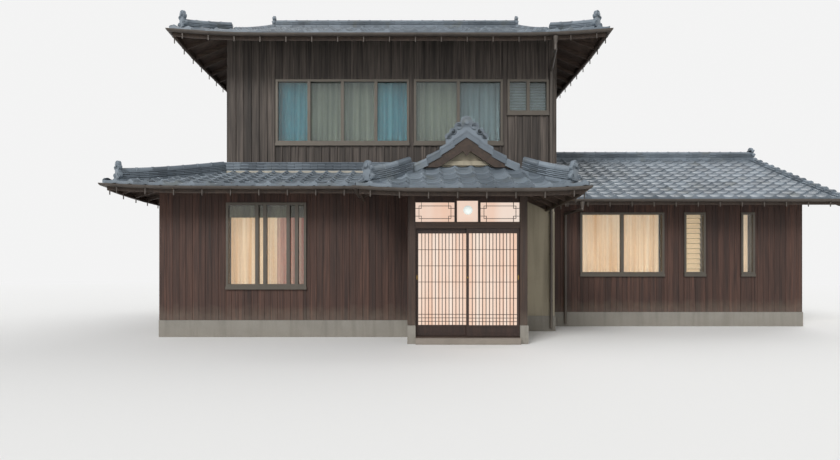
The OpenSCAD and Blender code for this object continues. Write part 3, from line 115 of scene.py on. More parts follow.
def blotches():
    """Broad and fine unevenness, for mineral surfaces: a tone about 1 and a height about 0."""
    tree, come, go = new_group(
        "blotches", dict(Vector="Vector", Scale="Float", Amount="Float"), dict(Tone="Float", Height="Float"))
    broad = noise(tree, come["Vector"], come["Scale"], 4.0, 0.6)
    fine = noise(tree, come["Vector"], calculate(tree, "MULTIPLY", come["Scale"], 14.0))
    swing = calculate(tree, "MULTIPLY_ADD", broad, 1.4, calculate(tree, "MULTIPLY_ADD", fine, 0.6, -1.0))
    link(tree, go, Tone=calculate(tree, "MULTIPLY_ADD", swing, come["Amount"], 1.0),
         Height=calculate(tree, "SUBTRACT", fine, 0.5))
    return tree


def rain_marks():
    """Darkens a colour in streaks that run down, and dusts it towards the ground."""
    tree, come, go = new_group(
        "rain_marks", dict(Vector="Vector", Color="Color", Dust="Color", Streaks="Float", Splash="Float"),
        dict(Color="Color"))
    runs = noise(tree, scaled(tree, come["Vector"], (9.0, 9.0, 0.7)), 1.0, 5.0, 0.3)
    runs = calculate(tree, "MULTIPLY", stretch(tree, runs, 0.48, 0.75), come["Streaks"])
    wet = mix_colours(tree, runs, come["Color"], (0.02, 0.018, 0.016, 1.0))
    height = add_node(tree, "SeparateXYZ", {0: come["Vector"]}).outputs["Z"]
    edge = calculate(tree, "MULTIPLY_ADD", noise(tree, come["Vector"], 6.0), 0.35, height)
    low = calculate(tree, "MULTIPLY", stretch(tree, edge, 0.15, 0.75, 1.0, 0.0), come["Splash"])
    link(tree, go, Color=mix_colours(tree, low, wet, come["Dust"]))
    return tree


blotches, rain_marks, dust = blotches(), rain_marks(), tint("#8b8274")


def new_material(name, code, roughness, **plain):
    """A material as (material, tree, shader, object coordinates). Plain values go on its sockets."""
    material = bpy.data.materials.new(name)
    material.use_nodes = True
    material.diffuse_color = tint(code)
    tree = material.node_tree
    shader = tree.nodes["Principled BSDF"]
    for label, value in {"Base Color": tint(code), "Roughness": roughness, **plain}.items():
        shader.inputs[label.replace("_", " ")].default_value = value
    return material, tree, shader, tree.nodes.new("ShaderNodeTexCoord").outputs["Object"]


def emboss(tree, shader, height, strength, distance):
    bump = add_node(tree, "Bump", {"Height": height, "Strength": strength, "Distance": distance})
    link(tree, shader.inputs, Normal=bump.outputs[0])


def toned(tree, tone, colour):
    """The colour made lighter or darker by a tone about 1."""
    grey = add_node(tree, "CombineColor", {0: tone, 1: tone, 2: tone}).outputs[0]
    return mix_colours(tree, 1.0, colour, grey, "MULTIPLY")


def rained_on(tree, place, colour, streaks, splash):
    return use_group(tree, rain_marks, Vector=place, Color=colour, Dust=dust, Streaks=streaks,
                     Splash=splash)["Color"]


def aged(name, code, roughness, scale, amount, marks=None, relief=0.0, polish=None, **plain):
    """A blotched finish. Marks are its streaks and splash, and polish its range of roughness."""
    material, tree, shader, place = new_material(name, code, roughness, **plain)
    uneven = use_group(tree, blotches, Vector=place, Scale=scale, Amount=amount)
    colour = toned(tree, uneven["Tone"], tint(code))
    link(tree, shader.inputs, Base_Color=rained_on(tree, place, colour, *marks) if marks else colour)
    if relief:
        emboss(tree, shader, uneven["Height"], 0.6, relief)
    if polish:
        link(tree, shader.inputs, Roughness=stretch(tree, uneven["Tone"], 0.8, 1.2, *polish))
    return material


def dress(material, *names):
    """Gives CAD nodes their finish."""
    for name in names:
        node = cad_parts[name]
        node.data.materials.clear()
        node.data.materials.append(material)


dress(aged("concrete", "#8d8a83", 0.88, 2.2, 0.28, (0.25, 0.35), 0.004), "foundation")

# The entrance slab
# The stone floor of the entrance hall, with one low step in front of the doors. Split granite,
# laid in three rows, grey and worn smooth where people tread.
dress(aged("stone", "#8a8178", 0.7, 5.0, 0.3, (0.0, 0.2), 0.003), "entrance_slab")

# Posts, beams, frames and bargeboards
# Squared cedar and cypress, planed and stained a dark brown that has gone dull outdoors. The
# grain runs along each piece.


def wood_grain():
    """Long grain along Z, as a colour between two tones and a height about 0.5."""
    tree, come, go = new_group(
        "wood_grain", dict(Vector="Vector", Dark="Color", Light="Color", Shift="Float"),
        dict(Color="Color", Height="Float"))
    shift = calculate(tree, "MULTIPLY", come["Shift"], 17.0)
    shift = add_node(tree, "CombineXYZ", {0: shift, 1: shift, 2: shift}).outputs[0]
    moved = add_node(tree, "VectorMath", {0: come["Vector"], 1: shift}, operation="ADD").outputs[0]
    fibres = noise(tree, scaled(tree, moved, (70.0, 70.0, 1.6)), 1.0, 4.0, 0.4)
    rings = noise(tree, scaled(tree, moved, (16.0, 16.0, 0.6)), 1.0, 3.0, 1.2)
    both = calculate(tree, "MULTIPLY_ADD", fibres, 0.45, calculate(tree, "MULTIPLY", rings, 0.55))
    colour = mix_colours(tree, stretch(tree, both, 0.34, 0.66), come["Dark"], come["Light"])
    link(tree, go, Color=colour, Height=both)
    return tree


def piece_tone():
    """A tone for each copy in a row, read from the whole part of its UV map."""
    tree, come, go = new_group(
        "piece_tone", dict(Low="Float", High="Float"), dict(Tone="Float", Value="Float"))
    place = add_node(tree, "UVMap", uv_map="UVMap").outputs[0]
    cell = add_node(tree, "VectorMath", {0: place}, operation="FLOOR").outputs[0]
    value = add_node(tree, "TexWhiteNoise", {"Vector": cell}, noise_dimensions="2D").outputs[0]
    tone = add_node(tree, "MapRange", {"Value": value, "To Min": come["Low"], "To Max": come["High"]})
    link(tree, go, Tone=tone.outputs[0], Value=value)
    return tree


wood_grain, piece_tone = wood_grain(), piece_tone()
along_x, along_y, along_z = (0, math.pi / 2, 0), (math.pi / 2, 0, 0), (0, 0, 0)


def timber(name, dark, light, roughness, turn, streaks=0.3, splash=0.0, tones=None):
    """Timber whose grain runs along one axis of the house. Tones, as (low, high), tell its boards apart."""
    material, tree, shader, place = new_material(name, light, roughness)
    own = use_group(tree, piece_tone, Low=tones[0], High=tones[1]) if tones else {"Value": 0.0}
    grain = use_group(tree, wood_grain, Vector=scaled(tree, place, (1, 1, 1), turn), Dark=tint(dark),
                      Light=tint(light), Shift=own["Value"])
    colour = toned(tree, own["Tone"], grain["Color"]) if tones else grain["Color"]
    link(tree, shader.inputs, Base_Color=rained_on(tree, place, colour, streaks, splash))
    emboss(tree, shader, grain["Height"], *((0.7, 0.004) if tones else (0.5, 0.003)))
    return material


dress(timber("post_wood", "#2b1f19", "#4a372b", 0.62, along_z, 0.3, 0.35), "porch_posts", "inner_posts")
dress(timber("beam_wood", "#2b1f19", "#4a372b", 0.62, along_x), "door_frame", "upper_beams")
dress(timber("gable_wood", "#2a211c", "#4b3c31", 0.68, along_y), "bargeboards", "fascia_boards")

# Floors
# Tongued pine boards nailed to joists and waxed. The ground floor shows through the open doors,
# and the upper one behind the windows.
dress(timber("floor_wood", "#6b4d33", "#8d6a49", 0.45, along_y, 0.0), "ground_floor", "upper_floor")

# Outer walls
# Timber framing closed with vertical boards. The upper storey has old cedar boards, silvered
# and dark, with a batten nailed over each joint. The ground floor has narrower, redder boards.
old_boards = timber("old_boards", "#2c2724", "#655c55", 0.8, along_z, 0.5, 0.0, (0.62, 1.2))
red_boards = timber("red_boards", "#2a1b16", "#573c31", 0.72, along_z, 0.3, 0.5, (0.7, 1.2))
dress(timber("wall_wood", "#2a1d18", "#4a352b", 0.75, along_z), "ground_front_walls", "ground_window_walls",
      "ground_rear_wall", "wing_front_walls", "wing_window_walls", "wing_rear_wall")
dress(timber("old_wall_wood", "#2b2623", "#554d47", 0.8, along_z),
      "upper_front_bands", "upper_front_posts", "upper_side_walls", "upper_rear_wall")
dress(aged("plaster", "#a89f8b", 0.9, 1.5, 0.14, (0.28, 0.3), 0.002),
      "ground_side_walls", "porch_walls", "main_gable_walls", "porch_gable_wall", "wing_end_wall")

half_ken, wall_out = 0.91, 0.06
left_x, upper_left_x, porch_x, right_x, wing_x = -5.35, -4.44, half_ken, 2 * half_ken, 8 * half_ken
front_y, upper_front_y, wing_front_y = half_ken, 2 * half_ken, 3 * half_ken
wing_rear_y, rear_y = 8 * half_ken, 9 * half_ken


def side(x, y, quarter_turns):
    """The place of a wall or a roof slope: its own X runs to the right as seen from outside."""
    return Matrix.Translation((x, y, 0)) @ Matrix.Rotation(math.radians(90 * quarter_turns), 4, "Z")


def select_only(pieces):
    bpy.ops.object.select_all(action="DESELECT")
    for piece in pieces:
        piece.select_set(True)
    bpy.context.view_layer.objects.active = pieces[0]


def primitive(add, **settings):
    """Adds a primitive and moves its place into its mesh."""
    bpy.ops.object.select_all(action="DESELECT")
    add(**settings)
    bpy.ops.object.transform_apply(location=True, rotation=True, scale=True)
    return bpy.context.object


def block(low, high):
    """A cube made to fill the room between two corners."""
    low, high = Vector(low), Vector(high)
    return primitive(bpy.ops.mesh.primitive_cube_add, size=1, location=(low + high) / 2, scale=high - low)


def apply_modifier(piece, kind, **settings):
    modifier = piece.modifiers.new(kind.lower(), kind)
    for name, value in settings.items():
        setattr(modifier, name, value)
    bpy.context.view_layer.objects.active = piece
    bpy.ops.object.modifier_apply(modifier=modifier.name)


def ease_edges(piece, width, segments=1):
    apply_modifier(piece, "BEVEL", width=width, segments=segments, limit_method="ANGLE")


def points_of(piece):
    flat = np.empty(len(piece.data.vertices) * 3)
    piece.data.vertices.foreach_get("co", flat)
    return flat.reshape(-1, 3)


def set_points(piece, points):
    piece.data.vertices.foreach_set("co", points.astype(np.float32).ravel())
    piece.data.update()


def lay_copies(model, rooms, wobble=0.0, draws=None):
    """Copies a model into each room, a pair of corners, and joins the copies in one mesh. Only the
    middle of the model stretches, so its edges stay true. Each copy gets a UV square of its own."""
    points, mesh, rooms = points_of(model), model.data, np.array(rooms)
    low, high, count = points.min(0), points.max(0), len(rooms)
    moved = np.where(points > (low + high) / 2, points - high + rooms[:, 1:], points - low + rooms[:, :1])
    if wobble:
        moved[:, :, 1] += [[draws.uniform(-wobble, wobble)] for _ in rooms]
    uv = np.empty(len(mesh.loops) * 2)
    mesh.uv_layers[0].data.foreach_get("uv", uv)
    squares = np.column_stack([np.arange(count), np.zeros(count)])[:, None] + 0.05
    made = bpy.data.meshes.new("copies")
    made.from_pydata(moved.reshape(-1, 3).tolist(), [], [
        [corner + number * len(points) for corner in face.vertices] for number in range(count)
        for face in mesh.polygons])
    made.uv_layers.new(name="UVMap").data.foreach_set("uv", (uv.reshape(-1, 2) * 0.9 + squares).ravel())
    model.data = made
    return model


def join(pieces):
    select_only(pieces)
    if len(pieces) > 1:
        bpy.ops.object.join()
    return pieces[0]


def complete(pieces, name, material, body="root", smooth=None):
    """Joins what was made, names it, gives it its material and makes it ride on its body."""
    piece = join(pieces)
    piece.name = piece.data.name = name
    piece.data.materials.clear()
    piece.data.materials.append(material)
    if smooth:
        bpy.ops.object.shade_smooth_by_angle(angle=math.radians(smooth))
    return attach(piece, body)


def clad(name, wall, width, low, high, holes, pitch, material, batten=0.0):
    """Boards a wall from 0 to width and from low to high, round its holes, as (x0, x1, z0, z1)."""
    board_t, gap, ease, wobble, least = 0.013, 0.003, 0.002, 0.0015, 0.02
    batten_t, batten_clear, bite = 0.018, 0.03, 0.001
    draws = random.Random(len(name))
    count = round(width / pitch)
    jambs = {x for hole in holes for x in hole[:2]}
    lines = sorted({i * width / count for i in range(count + 1)} | jambs)
    rooms, strips = [], []
    for x0, x1 in zip(lines, lines[1:]):
        cuts = sorted((z0, z1) for a, b, z0, z1 in holes if a < (x0 + x1) / 2 < b)
        ends = [low, *(z for cut in cuts for z in cut), high]
        for z0, z1 in zip(ends[::2], ends[1::2]):
            if x1 - x0 > least and z1 - z0 > least:
                rooms.append(((x0 + gap / 2, -board_t, z0), (x1 - gap / 2, 0, z1)))
                if batten and not any(abs(x0 - x) < batten_clear for x in jambs):
                    front, back = -board_t - batten_t, -board_t + bite
                    strips.append(((x0 - batten / 2, front, z0), (x0 + batten / 2, back, z1)))
    model = block((0, 0, 0), (0.1, board_t, 1))
    ease_edges(model, ease)
    made = [lay_copies(model, rooms, wobble, draws)]
    if strips:
        model = block((0, 0, 0), (batten, batten_t, 1))
        ease_edges(model, ease * 1.5)
        made.append(lay_copies(model, strips, wobble, draws))
    piece = join(made)
    piece.data.transform(wall)
    return complete([piece], name, material)


def holes_in(wall_x, windows, way=1):
    """Windows as holes in a wall that starts at an X and runs to the right or, with -1, to the left."""
    return [(*sorted((way * (x0 - wall_x), way * (x1 - wall_x))), z0, z1) for x0, x1, z0, z1 in windows]


sill, head, post_half, rear_half, wide_w = 3.66, 4.9, 0.045, 0.6, 2.6
wide = (-half_ken - post_half - wide_w, -half_ken - post_half, sill, head)
pair = (-half_ken + post_half, half_ken - post_half, sill, head)
little = (half_ken + post_half, right_x - wall_out, 4.25, head)
board_low, board_high, beam_top, board_pitch, batten_w, pent_head_x = 3.285, 5.68, 2.955, 0.151, 0.036, -0.64
upper_x, upper_y, house_x, back_y = (
    upper_left_x - wall_out, upper_front_y - wall_out, right_x + wall_out, rear_y + wall_out)
upper_rear = [(x - rear_half, x + rear_half, sill, head) for x in (-3.25 * half_ken, 0.25 * half_ken)]
pent_end = (0, pent_head_x - upper_x, beam_top, board_low)
for name, wall, width, low, holes in (
        ("front", side(upper_x, upper_y, 0), house_x - upper_x, beam_top,
         holes_in(upper_x, (wide, pair, little)) + [pent_end]),
        ("left", side(upper_x, back_y, -1), back_y - upper_y, board_low, []),
        ("right", side(house_x, upper_y, 1), back_y - upper_y, beam_top, []),
        ("rear", side(house_x, back_y, 2), house_x - upper_x, beam_top,
         holes_in(house_x, upper_rear, -1))):
    clad(f"upper_{name}_boards", wall, width, low, board_high, holes, board_pitch, old_boards,
         batten_w)

ground_sill, ground_head, wing_sill = 0.9, 2.4, 1.1
ground_window = (left_x + 1.13, left_x + 2.56, ground_sill, ground_head)
wing_windows = [(right_x + x0, right_x + x1, wing_sill, ground_head)
                for x0, x1 in ((0.83, 2.6), (3.02, 3.47), (4.22, 4.51))]
ground_rear, wing_rear = [[(x * half_ken - rear_half, x * half_ken + rear_half, ground_sill, ground_head)
                           for x in places] for places in ((-3.5, -0.5), (3.75, 6.25))]
base_z, pent_board_top, rear_board_top, porch_board_top, wing_board_top = 0.302, 2.735, 2.75, 2.7, 2.88
narrow_pitch = 0.118
ground_x, ground_y, wing_end_x = left_x - wall_out, front_y - wall_out, wing_x + wall_out
for name, wall, width, high, holes in (
        ("ground_front", side(ground_x, ground_y, 0), -porch_x - left_x, pent_board_top,
         holes_in(ground_x, [ground_window])),
        ("ground_left", side(ground_x, back_y, -1), back_y - ground_y, pent_board_top, []),
        ("ground_rear", side(house_x, back_y, 2), house_x - ground_x, rear_board_top,
         holes_in(house_x, ground_rear, -1)),
        ("porch_left", side(-porch_x - wall_out, ground_y, -1), ground_y - wall_out, porch_board_top, []),
        ("wing_front", side(house_x, wing_front_y - wall_out, 0), wing_x - right_x, wing_board_top,
         holes_in(house_x, wing_windows)),
        ("wing_rear", side(wing_end_x, wing_rear_y + wall_out, 2), wing_x - right_x, wing_board_top,
         holes_in(wing_end_x, wing_rear, -1))):
    clad(name + "_boards", wall, width, base_z, high, holes, narrow_pitch, red_boards)

# Windows
# Sliding aluminium sashes, anodised a grey bronze, in frames that stand a little proud of the
# boards. The panes are clear float glass, set in rubber.
dress(aged("bronze_frame", "#5f5a53", 0.42, 6.0, 0.2, polish=(0.34, 0.52), Metallic=0.75),
      "upper_window_frames", "ground_window_frames")
for storey, code in (("upper", "#dbe6e6"), ("ground", "#ece8de")):
    pane = aged(storey + "_pane", code, 0.03, 1.2, 0.12, Transmission_Weight=0.95, IOR=1.45)
    dress(pane, storey + "_glass")

# Curtains
# Cotton curtains gathered on rails inside the windows: blue and olive upstairs, cream and rose
# downstairs where the rooms are lit, and a short green valance over those. The cream and rose
# glow with painted backlight, and every cloth has painted shade and highlight along its folds.


def cloth(name, dark, light, glow="#000000", strength=0.0):
    """Curtain cloth with painted shade in its folds and a painted highlight where they come
    forward. Glow is painted backlight, as from a lit room.
    """
    material, tree, shader, place = new_material(name, light, 0.9)
    weave = noise(tree, scaled(tree, place, (160, 160, 160)), 1.0, 2.0)
    folds = noise(tree, scaled(tree, place, (11, 11, 0.25)), 1.0, 2.0)
    # Painted shade and highlight: darker in the hollows of the folds, lighter where they come forward.
    colour = mix_colours(tree, stretch(tree, folds, 0.35, 0.65), tint(dark), tint(light))
    link(tree, shader.inputs, Base_Color=colour)
    emboss(tree, shader, weave, 0.3, 0.001)
    # Painted backlight: the cloth glows as if the room behind it were lit, palest on its folds.
    if strength:
        lit = mix_colours(tree, stretch(tree, folds, 0.3, 0.7), tint(glow), tint("#fff1dc"))
        link(tree, shader.inputs, Emission_Color=lit)
        shader.inputs["Emission Strength"].default_value = strength
    return material


def edit(piece, operation, **settings):
    """Runs one edit-mode operation on all of a piece."""
    bpy.context.view_layer.objects.active = piece
    bpy.ops.object.mode_set(mode="EDIT")
    bpy.ops.mesh.select_all(action="SELECT")
    operation(**settings)
    bpy.ops.object.mode_set(mode="OBJECT")


def form(shape, columns, rows=1, thickness=0.0, offset=-1):
    """A sheet whose points a function places from their shares across and up. A thickness is added
    below it or, with 1 as the offset, above."""
    piece = primitive(bpy.ops.mesh.primitive_grid_add, x_subdivisions=columns, y_subdivisions=rows, size=1,
                      location=(0.5, 0.5, 0))
    across, up = points_of(piece).T[:2]
    set_points(piece, np.column_stack(np.broadcast_arrays(*shape(across, up))))
    if thickness:
        apply_modifier(piece, "SOLIDIFY", thickness=thickness, offset=offset)
    return piece


def hang_curtain(name, wall, x0, x1, z0, z1, material, rests_on, depth=0.19, amp=0.016):
    """A gathered curtain just inside a window: a sheet whose folds deepen towards its hem."""
    fold, height = 0.11, z1 - z0
    waves = max(2, round((x1 - x0) / fold))

    def folds(across, up):
        swing = amp * (1.25 - 0.5 * up) * np.sin(2 * math.pi * waves * across)
        swing += 0.3 * amp * np.sin(2 * math.pi * waves * 0.37 * across + 2 * up)
        return x0 + (x1 - x0) * across, depth + swing, z0 + height * up
    piece = form(folds, waves * 8, 6)
    edit(piece, bpy.ops.mesh.flip_normals)
    piece.data.transform(wall)
    complete([piece], name, material, smooth=60)
    return piece


pale_curtain = cloth("pale_curtain", "#8b8b78", "#b3af98")
blue_curtain = cloth("blue_curtain", "#3b93a8", "#74c3d2")
grey_curtain = cloth("grey_curtain", "#7b8c93", "#a7b8bc")
warm_curtain = cloth("warm_curtain", "#c9a987", "#efd9bd", "#f3c79b", 0.55)
rose_curtain = cloth("rose_curtain", "#a8605c", "#cf8f86", "#c4706a", 0.3)
green_curtain = cloth("green_curtain", "#5f6a5c", "#8b9482")
upper_frames, ground_frames = "upper_window_frames", "ground_window_frames"
clear, below, above, lit_below, lit_above, lit_depth, valance_z, rose_share = (
    0.02, 0.06, 0.04, 0.05, 0.03, 0.2, 2.144, 0.6)
upper_out, ground_out = side(0, upper_y, 0), side(0, ground_y, 0)
wing_out = side(0, wing_front_y - wall_out, 0)
for name, window, cloths in (("wide", wide, (blue_curtain, pale_curtain, pale_curtain, blue_curtain)),
                             ("upper", pair, (pale_curtain, grey_curtain))):
    sash = (window[1] - window[0]) / len(cloths)
    for number, material in enumerate(cloths):
        x0 = window[0] + number * sash
        hang_curtain(f"{name}_curtain_{number + 1}", upper_out, x0 + clear / 2, x0 + sash - clear / 2,
                     sill - below, head + above, material, upper_frames)
ground_x0, ground_x1 = ground_window[0] + clear, ground_window[1] - clear
rose_x = ground_window[0] + rose_share * (ground_window[1] - ground_window[0])
for name, x0, x1, material in (("front_curtain_warm", ground_x0, rose_x, warm_curtain),
                               ("front_curtain_rose", rose_x, ground_x1, rose_curtain)):
    hang_curtain(name, ground_out, x0, x1, ground_sill - lit_below, ground_head, material, ground_frames,
                 lit_depth)
hang_curtain("front_valance", ground_out, ground_x0, ground_x1, valance_z, ground_head + lit_above,
             green_curtain, ground_frames, depth=0.145, amp=0.006)
for number, window in enumerate(wing_windows[::2]):
    hang_curtain(f"wing_curtain_{number + 1}", wing_out, window[0] + clear, window[1] - clear,
                 wing_sill - lit_below, ground_head + lit_above, warm_curtain, ground_frames, lit_depth)
for name, windows, y, material, frames in (("upper", upper_rear, rear_y, grey_curtain, upper_frames),
                                           ("ground", ground_rear, rear_y, green_curtain, ground_frames),
                                           ("wing", wing_rear, wing_rear_y, green_curtain, ground_frames)):
    for number, (x0, x1, low, high) in enumerate(windows):
        hang_curtain(f"{name}_rear_curtain_{number + 1}", side(0, y + wall_out, 2), clear - x1, -x0 - clear,
                     low - below, high + above, material, frames)

# Blinds
# A slatted blind of pale metal hangs on two cords behind the smallest window. The louvre window
# of the wing has opal glass blades, held in clips at both ends, which glow with painted backlight
# as if the room behind them were lit.


def lay_slats(name, wall, x0, x1, z0, z1, pitch, slat, tilt, depth, material):
    """Level slats, as (depth, thickness), tipped about their length and threaded on two cords."""
    strip = block((-0.5, -slat[0] / 2, -slat[1] / 2), (0.5, slat[0] / 2, slat[1] / 2))
    ease_edges(strip, slat[1] / 3)
    strip.data.transform(Matrix.Rotation(math.radians(tilt), 4, "X"))
    reach = points_of(strip).max(0)
    count = round((z1 - z0) / pitch)
    levels = [z0 + (number + 0.5) * (z1 - z0) / count for number in range(count)]
    rooms = [((x0, depth - reach[1], z - reach[2]), (x1, depth + reach[1], z + reach[2])) for z in levels]
    cord_t, cord_in = 0.004, 0.08
    cord = block((0, 0, 0), (cord_t, cord_t, 1))
    cords = [((x, depth - cord_t / 2, z0), (x + cord_t, depth + cord_t / 2, z1))
             for x in (x0 + cord_in, x1 - cord_in - cord_t)]
    piece = join([lay_copies(strip, rooms), lay_copies(cord, cords)])
    piece.data.transform(wall)
    return complete([piece], name, material)


lay_slats("small_blind", upper_out, little[0] + clear / 2, little[1] - clear / 2, little[2] - 0.03,
          head + clear, pitch=0.031, slat=(0.028, 0.0016), tilt=58, depth=0.15,
          material=aged("blind_metal", "#a9b3b4", 0.5, 7.0, 0.12))
# Painted backlight: the louvre blades glow as if the room behind them were lit.
lay_slats("wing_louvres", wing_out, wing_windows[1][0] + clear, wing_windows[1][1] - clear, wing_sill,
          ground_head, pitch=0.11, slat=(0.112, 0.006), tilt=66, depth=0.16,
          material=aged("louvre_glass", "#d8c6ab", 0.35, 7.0, 0.15, Emission_Color=tint("#f6dcb6"),
                        Emission_Strength=0.5))

# Sliding doors and transom
# Two lattice doors of thin dark cedar bars in front of pale panes that glow from the hall
# behind. They hang on small wheels, the left one on the inner track.
dress(timber("door_wood", "#20140f", "#3c281f", 0.5, along_z, 0.0),
      "left_door", "right_door", "transom_lattice")


def lit_paper(name, warm, pale, strength, fold_scale):
    """A pane lit from behind, with the soft upright folds of what hangs behind it."""
    material, tree, shader, place = new_material(name, "#6d5f55", 0.55, Emission_Strength=strength)
    folds = stretch(tree, noise(tree, scaled(tree, place, (fold_scale, 1, 0.15)), 1.0, 3.0, 0.2), 0.35, 0.65)
    broad = calculate(tree, "MULTIPLY", noise(tree, place, 1.3, 2.0), 0.5)
    share = calculate(tree, "MULTIPLY_ADD", folds, 0.6, broad)
    link(tree, shader.inputs, Emission_Color=mix_colours(tree, share, tint(warm), tint(pale)))
    return material


dress(lit_paper("door_paper", "#f0b795", "#fbefe2", 0.83, 9.0), "left_door_pane", "right_door_pane")
dress(lit_paper("transom_paper", "#f3c2a5", "#fbefe4", 0.84, 1.5), "transom_panes")

# Door pulls
# An oval brass cup, gone brown, let into the outer stile of each door, and a round lock plate
# where the doors meet.


def cylinder(radius, depth, centre, sides=24, turn=along_y):
    return primitive(bpy.ops.mesh.primitive_cylinder_add, vertices=sides, radius=radius, depth=depth,
                     location=centre, rotation=turn)


def lay_pull(width, height, x, y):
    """An upright oval plate on a door face at Y, sunk inside its rim."""
    pull_z, plate_t, rim, sunk = 1.08, 0.003, 0.004, 0.0022
    piece = cylinder(0.5, plate_t, (0, 0, 0), 32)
    piece.data.transform(
        Matrix.Translation((x, y - plate_t / 2, pull_z)) @ Matrix.Diagonal((width, 1, height, 1)))
    for face in piece.data.polygons:
        face.select = face.normal.y < -0.9
    bpy.ops.object.mode_set(mode="EDIT")
    bpy.ops.mesh.inset(thickness=rim)
    bpy.ops.transform.translate(value=(0, sunk, 0))
    bpy.ops.object.mode_set(mode="OBJECT")
    ease_edges(piece, 0.0008)
    return piece


brass = aged("brass", "#8a6f3f", 0.35, 30.0, 0.5, Metallic=0.9)
pull, lock, pull_x, left_face, right_face = (0.026, 0.085), (0.03, 0.03), 0.824, 0.008, -0.038
complete([lay_pull(*pull, -pull_x, left_face)], "left_door_pull", brass, body="left_door", smooth=30)
complete([lay_pull(*pull, pull_x, right_face), lay_pull(*lock, 0.0, right_face)], "right_door_pull", brass,
         body="right_door", smooth=30)

# The porch lamp
# An opal glass globe on a round base, in the small box at the middle of the transom. It is
# brightest at its middle, where its wall is looked through squarely.
lamp_glass = aged("lamp_glass", "#b4bdba", 0.25, 7.0, 0.05, Emission_Color=tint("#f4fbf6"))
tree = lamp_glass.node_tree
facing = add_node(tree, "LayerWeight", {"Blend": 0.5}).outputs["Facing"]
glow = stretch(tree, facing, 0.2, 1.0, 0.72, 0.42)
link(tree, tree.nodes["Principled BSDF"].inputs, Emission_Strength=glow)
dress(lamp_glass, "porch_lamp")

# Roof boards and rafters
# Sawn cedar boards on square rafters, whose tails show under every eave, gone dark with age.
# The boards are nailed across the rafters and carry the tiles.
dress(timber("roof_wood", "#2d221b", "#54443a", 0.75, along_x, 0.0),
      "main_roof_deck", "pent_roof_deck", "porch_roof_deck", "wing_roof_deck")

# Roof tiles
# Smoked grey clay pantiles, laid in courses from the eave up on a bed of clay. Each has a broad
# pan and a round roll, and the eave course ends in a hanging nose with a round boss.
main = SimpleNamespace(node="main_roof_tiles", eave=5.53, slope=0.41, sag=0.009, lift=0.09, reach=1.7)
pent = SimpleNamespace(node="pent_roof_tiles", eave=2.66, slope=0.28, sag=0.012, lift=0.06, reach=1.7)
porch = SimpleNamespace(node="porch_roof_tiles", eave=2.5, slope=0.34, sag=0.135, lift=0.045, reach=1.0)
wing = SimpleNamespace(node="wing_roof_tiles", eave=2.66, slope=0.42, sag=0.008, lift=0.0, reach=1.7)
tile_w, tile_exposure, tile_t, tile_lap, tile_steps, bed = 0.262, 0.218, 0.017, 0.02, 14, 0.03
roll_h, roll_at, roll_spread, pan_share, pan_depth, nose_h = 0.036, 0.8, 0.13, 0.62, 0.008, 0.022


def rise(roof, u):
    return roof.eave + roof.slope * u + roof.sag * u * u


def face_z(roof, u, a, b):
    """Height of the tile face at run u, and at a and b from the two turned-up eave ends."""
    def fade(distance):
        return np.clip(1 - np.maximum(distance, 0) / roof.reach, 0, 1) ** 2
    return rise(roof, u) + roof.lift * fade(u) * (fade(a) + fade(b))


def tile_profile(share):
    """Height across one tile, share running from 0 to 1."""
    roll = roll_h * np.exp(-((share - roll_at) / roll_spread) ** 2)
    return roll - pan_depth * np.sin(math.pi * np.minimum(share / pan_share, 1))


def nose_tile(width):
    """The hanging end of an eave tile: a curved plate and a round boss under the roll."""
    hang, plate_t, boss_r, front = 0.052, 0.014, 0.036, 0.006

    def hanging(across, up):
        return across * width, front, tile_profile(across) * (0.4 + 0.6 * up) + nose_h - hang * (1 - up)
    plate = form(hanging, tile_steps, 1, plate_t, 1)
    boss = cylinder(boss_r, plate_t, (roll_at * width, plate_t / 2, nose_h + roll_h - boss_r), 16)
    ease_edges(boss, 0.004)
    return join([plate, boss])


def verge_tile(length, on_right):
    """A tile for the end of a slope: a stout roll along the edge, closed by a round boss, and a
    flange that hangs in front of the bargeboard and laps the flange of the tile below."""
    reach, hang, flange_x, lap, roll_r, step_h, under = 0.15, 0.1, 0.004, 0.008, 0.056, 0.03, -0.4
    roll_from, roll_to, steps = 4, 18, 26
    lean = math.cos(under)

    def section(across, up):
        step, radius = steps * across, roll_r * (1 - 0.28 * up)
        angle = np.interp(step, (roll_from, roll_to), (math.pi, under))
        flat = np.clip(1 - step / roll_from, 0, 1)
        fall = np.clip((step - roll_to) / (steps - roll_to), 0, 1)
        x = radius * (np.cos(angle) - lean) - flat * (reach - (1 + lean) * radius) + flange_x + lap * (1 - up)
        return x, up * length, radius * np.sin(angle) * (1 - fall) - hang * fall + step_h * (1 - up)
    tile = form(section, steps, 1, tile_t)
    boss = cylinder(roll_r + 0.003, 0.03, (flange_x + lap - lean * roll_r, 0.004, step_h))
    ease_edges(boss, 0.01, 2)
    tile = join([tile, boss])
    if not on_right:
        tile.data.transform(Matrix.Diagonal((-1, 1, 1, 1)))
        edit(tile, bpy.ops.mesh.flip_normals)
    return tile


def repeat(piece, step, count, uv_step=(1, 0)):
    apply_modifier(piece, "ARRAY", use_relative_offset=False, use_constant_offset=True,
                   constant_offset_displace=step, count=count, offset_u=uv_step[0], offset_v=uv_step[1])


def cut_away(piece, *cuts, fill=False):
    """Cuts a piece by planes, each a point and a direction, and clears what lies that way."""
    for point, outward in cuts:
        edit(piece, bpy.ops.mesh.bisect, plane_co=point, plane_no=Vector(outward).normalized(),
             clear_outer=True, use_fill=fill)


def ruffle(piece, each, draws):
    """Lifts and tips each copy a little, as hand-laid tiles lie."""
    lift, tip = 0.0015, 0.01
    points = points_of(piece)
    for first in range(0, len(points), each):
        copy = points[first:first + each]
        copy[:, 2] += draws.uniform(-lift, lift) + draws.uniform(-tip, tip) * (copy[:, 0] - copy[0, 0])
    set_points(piece, points)


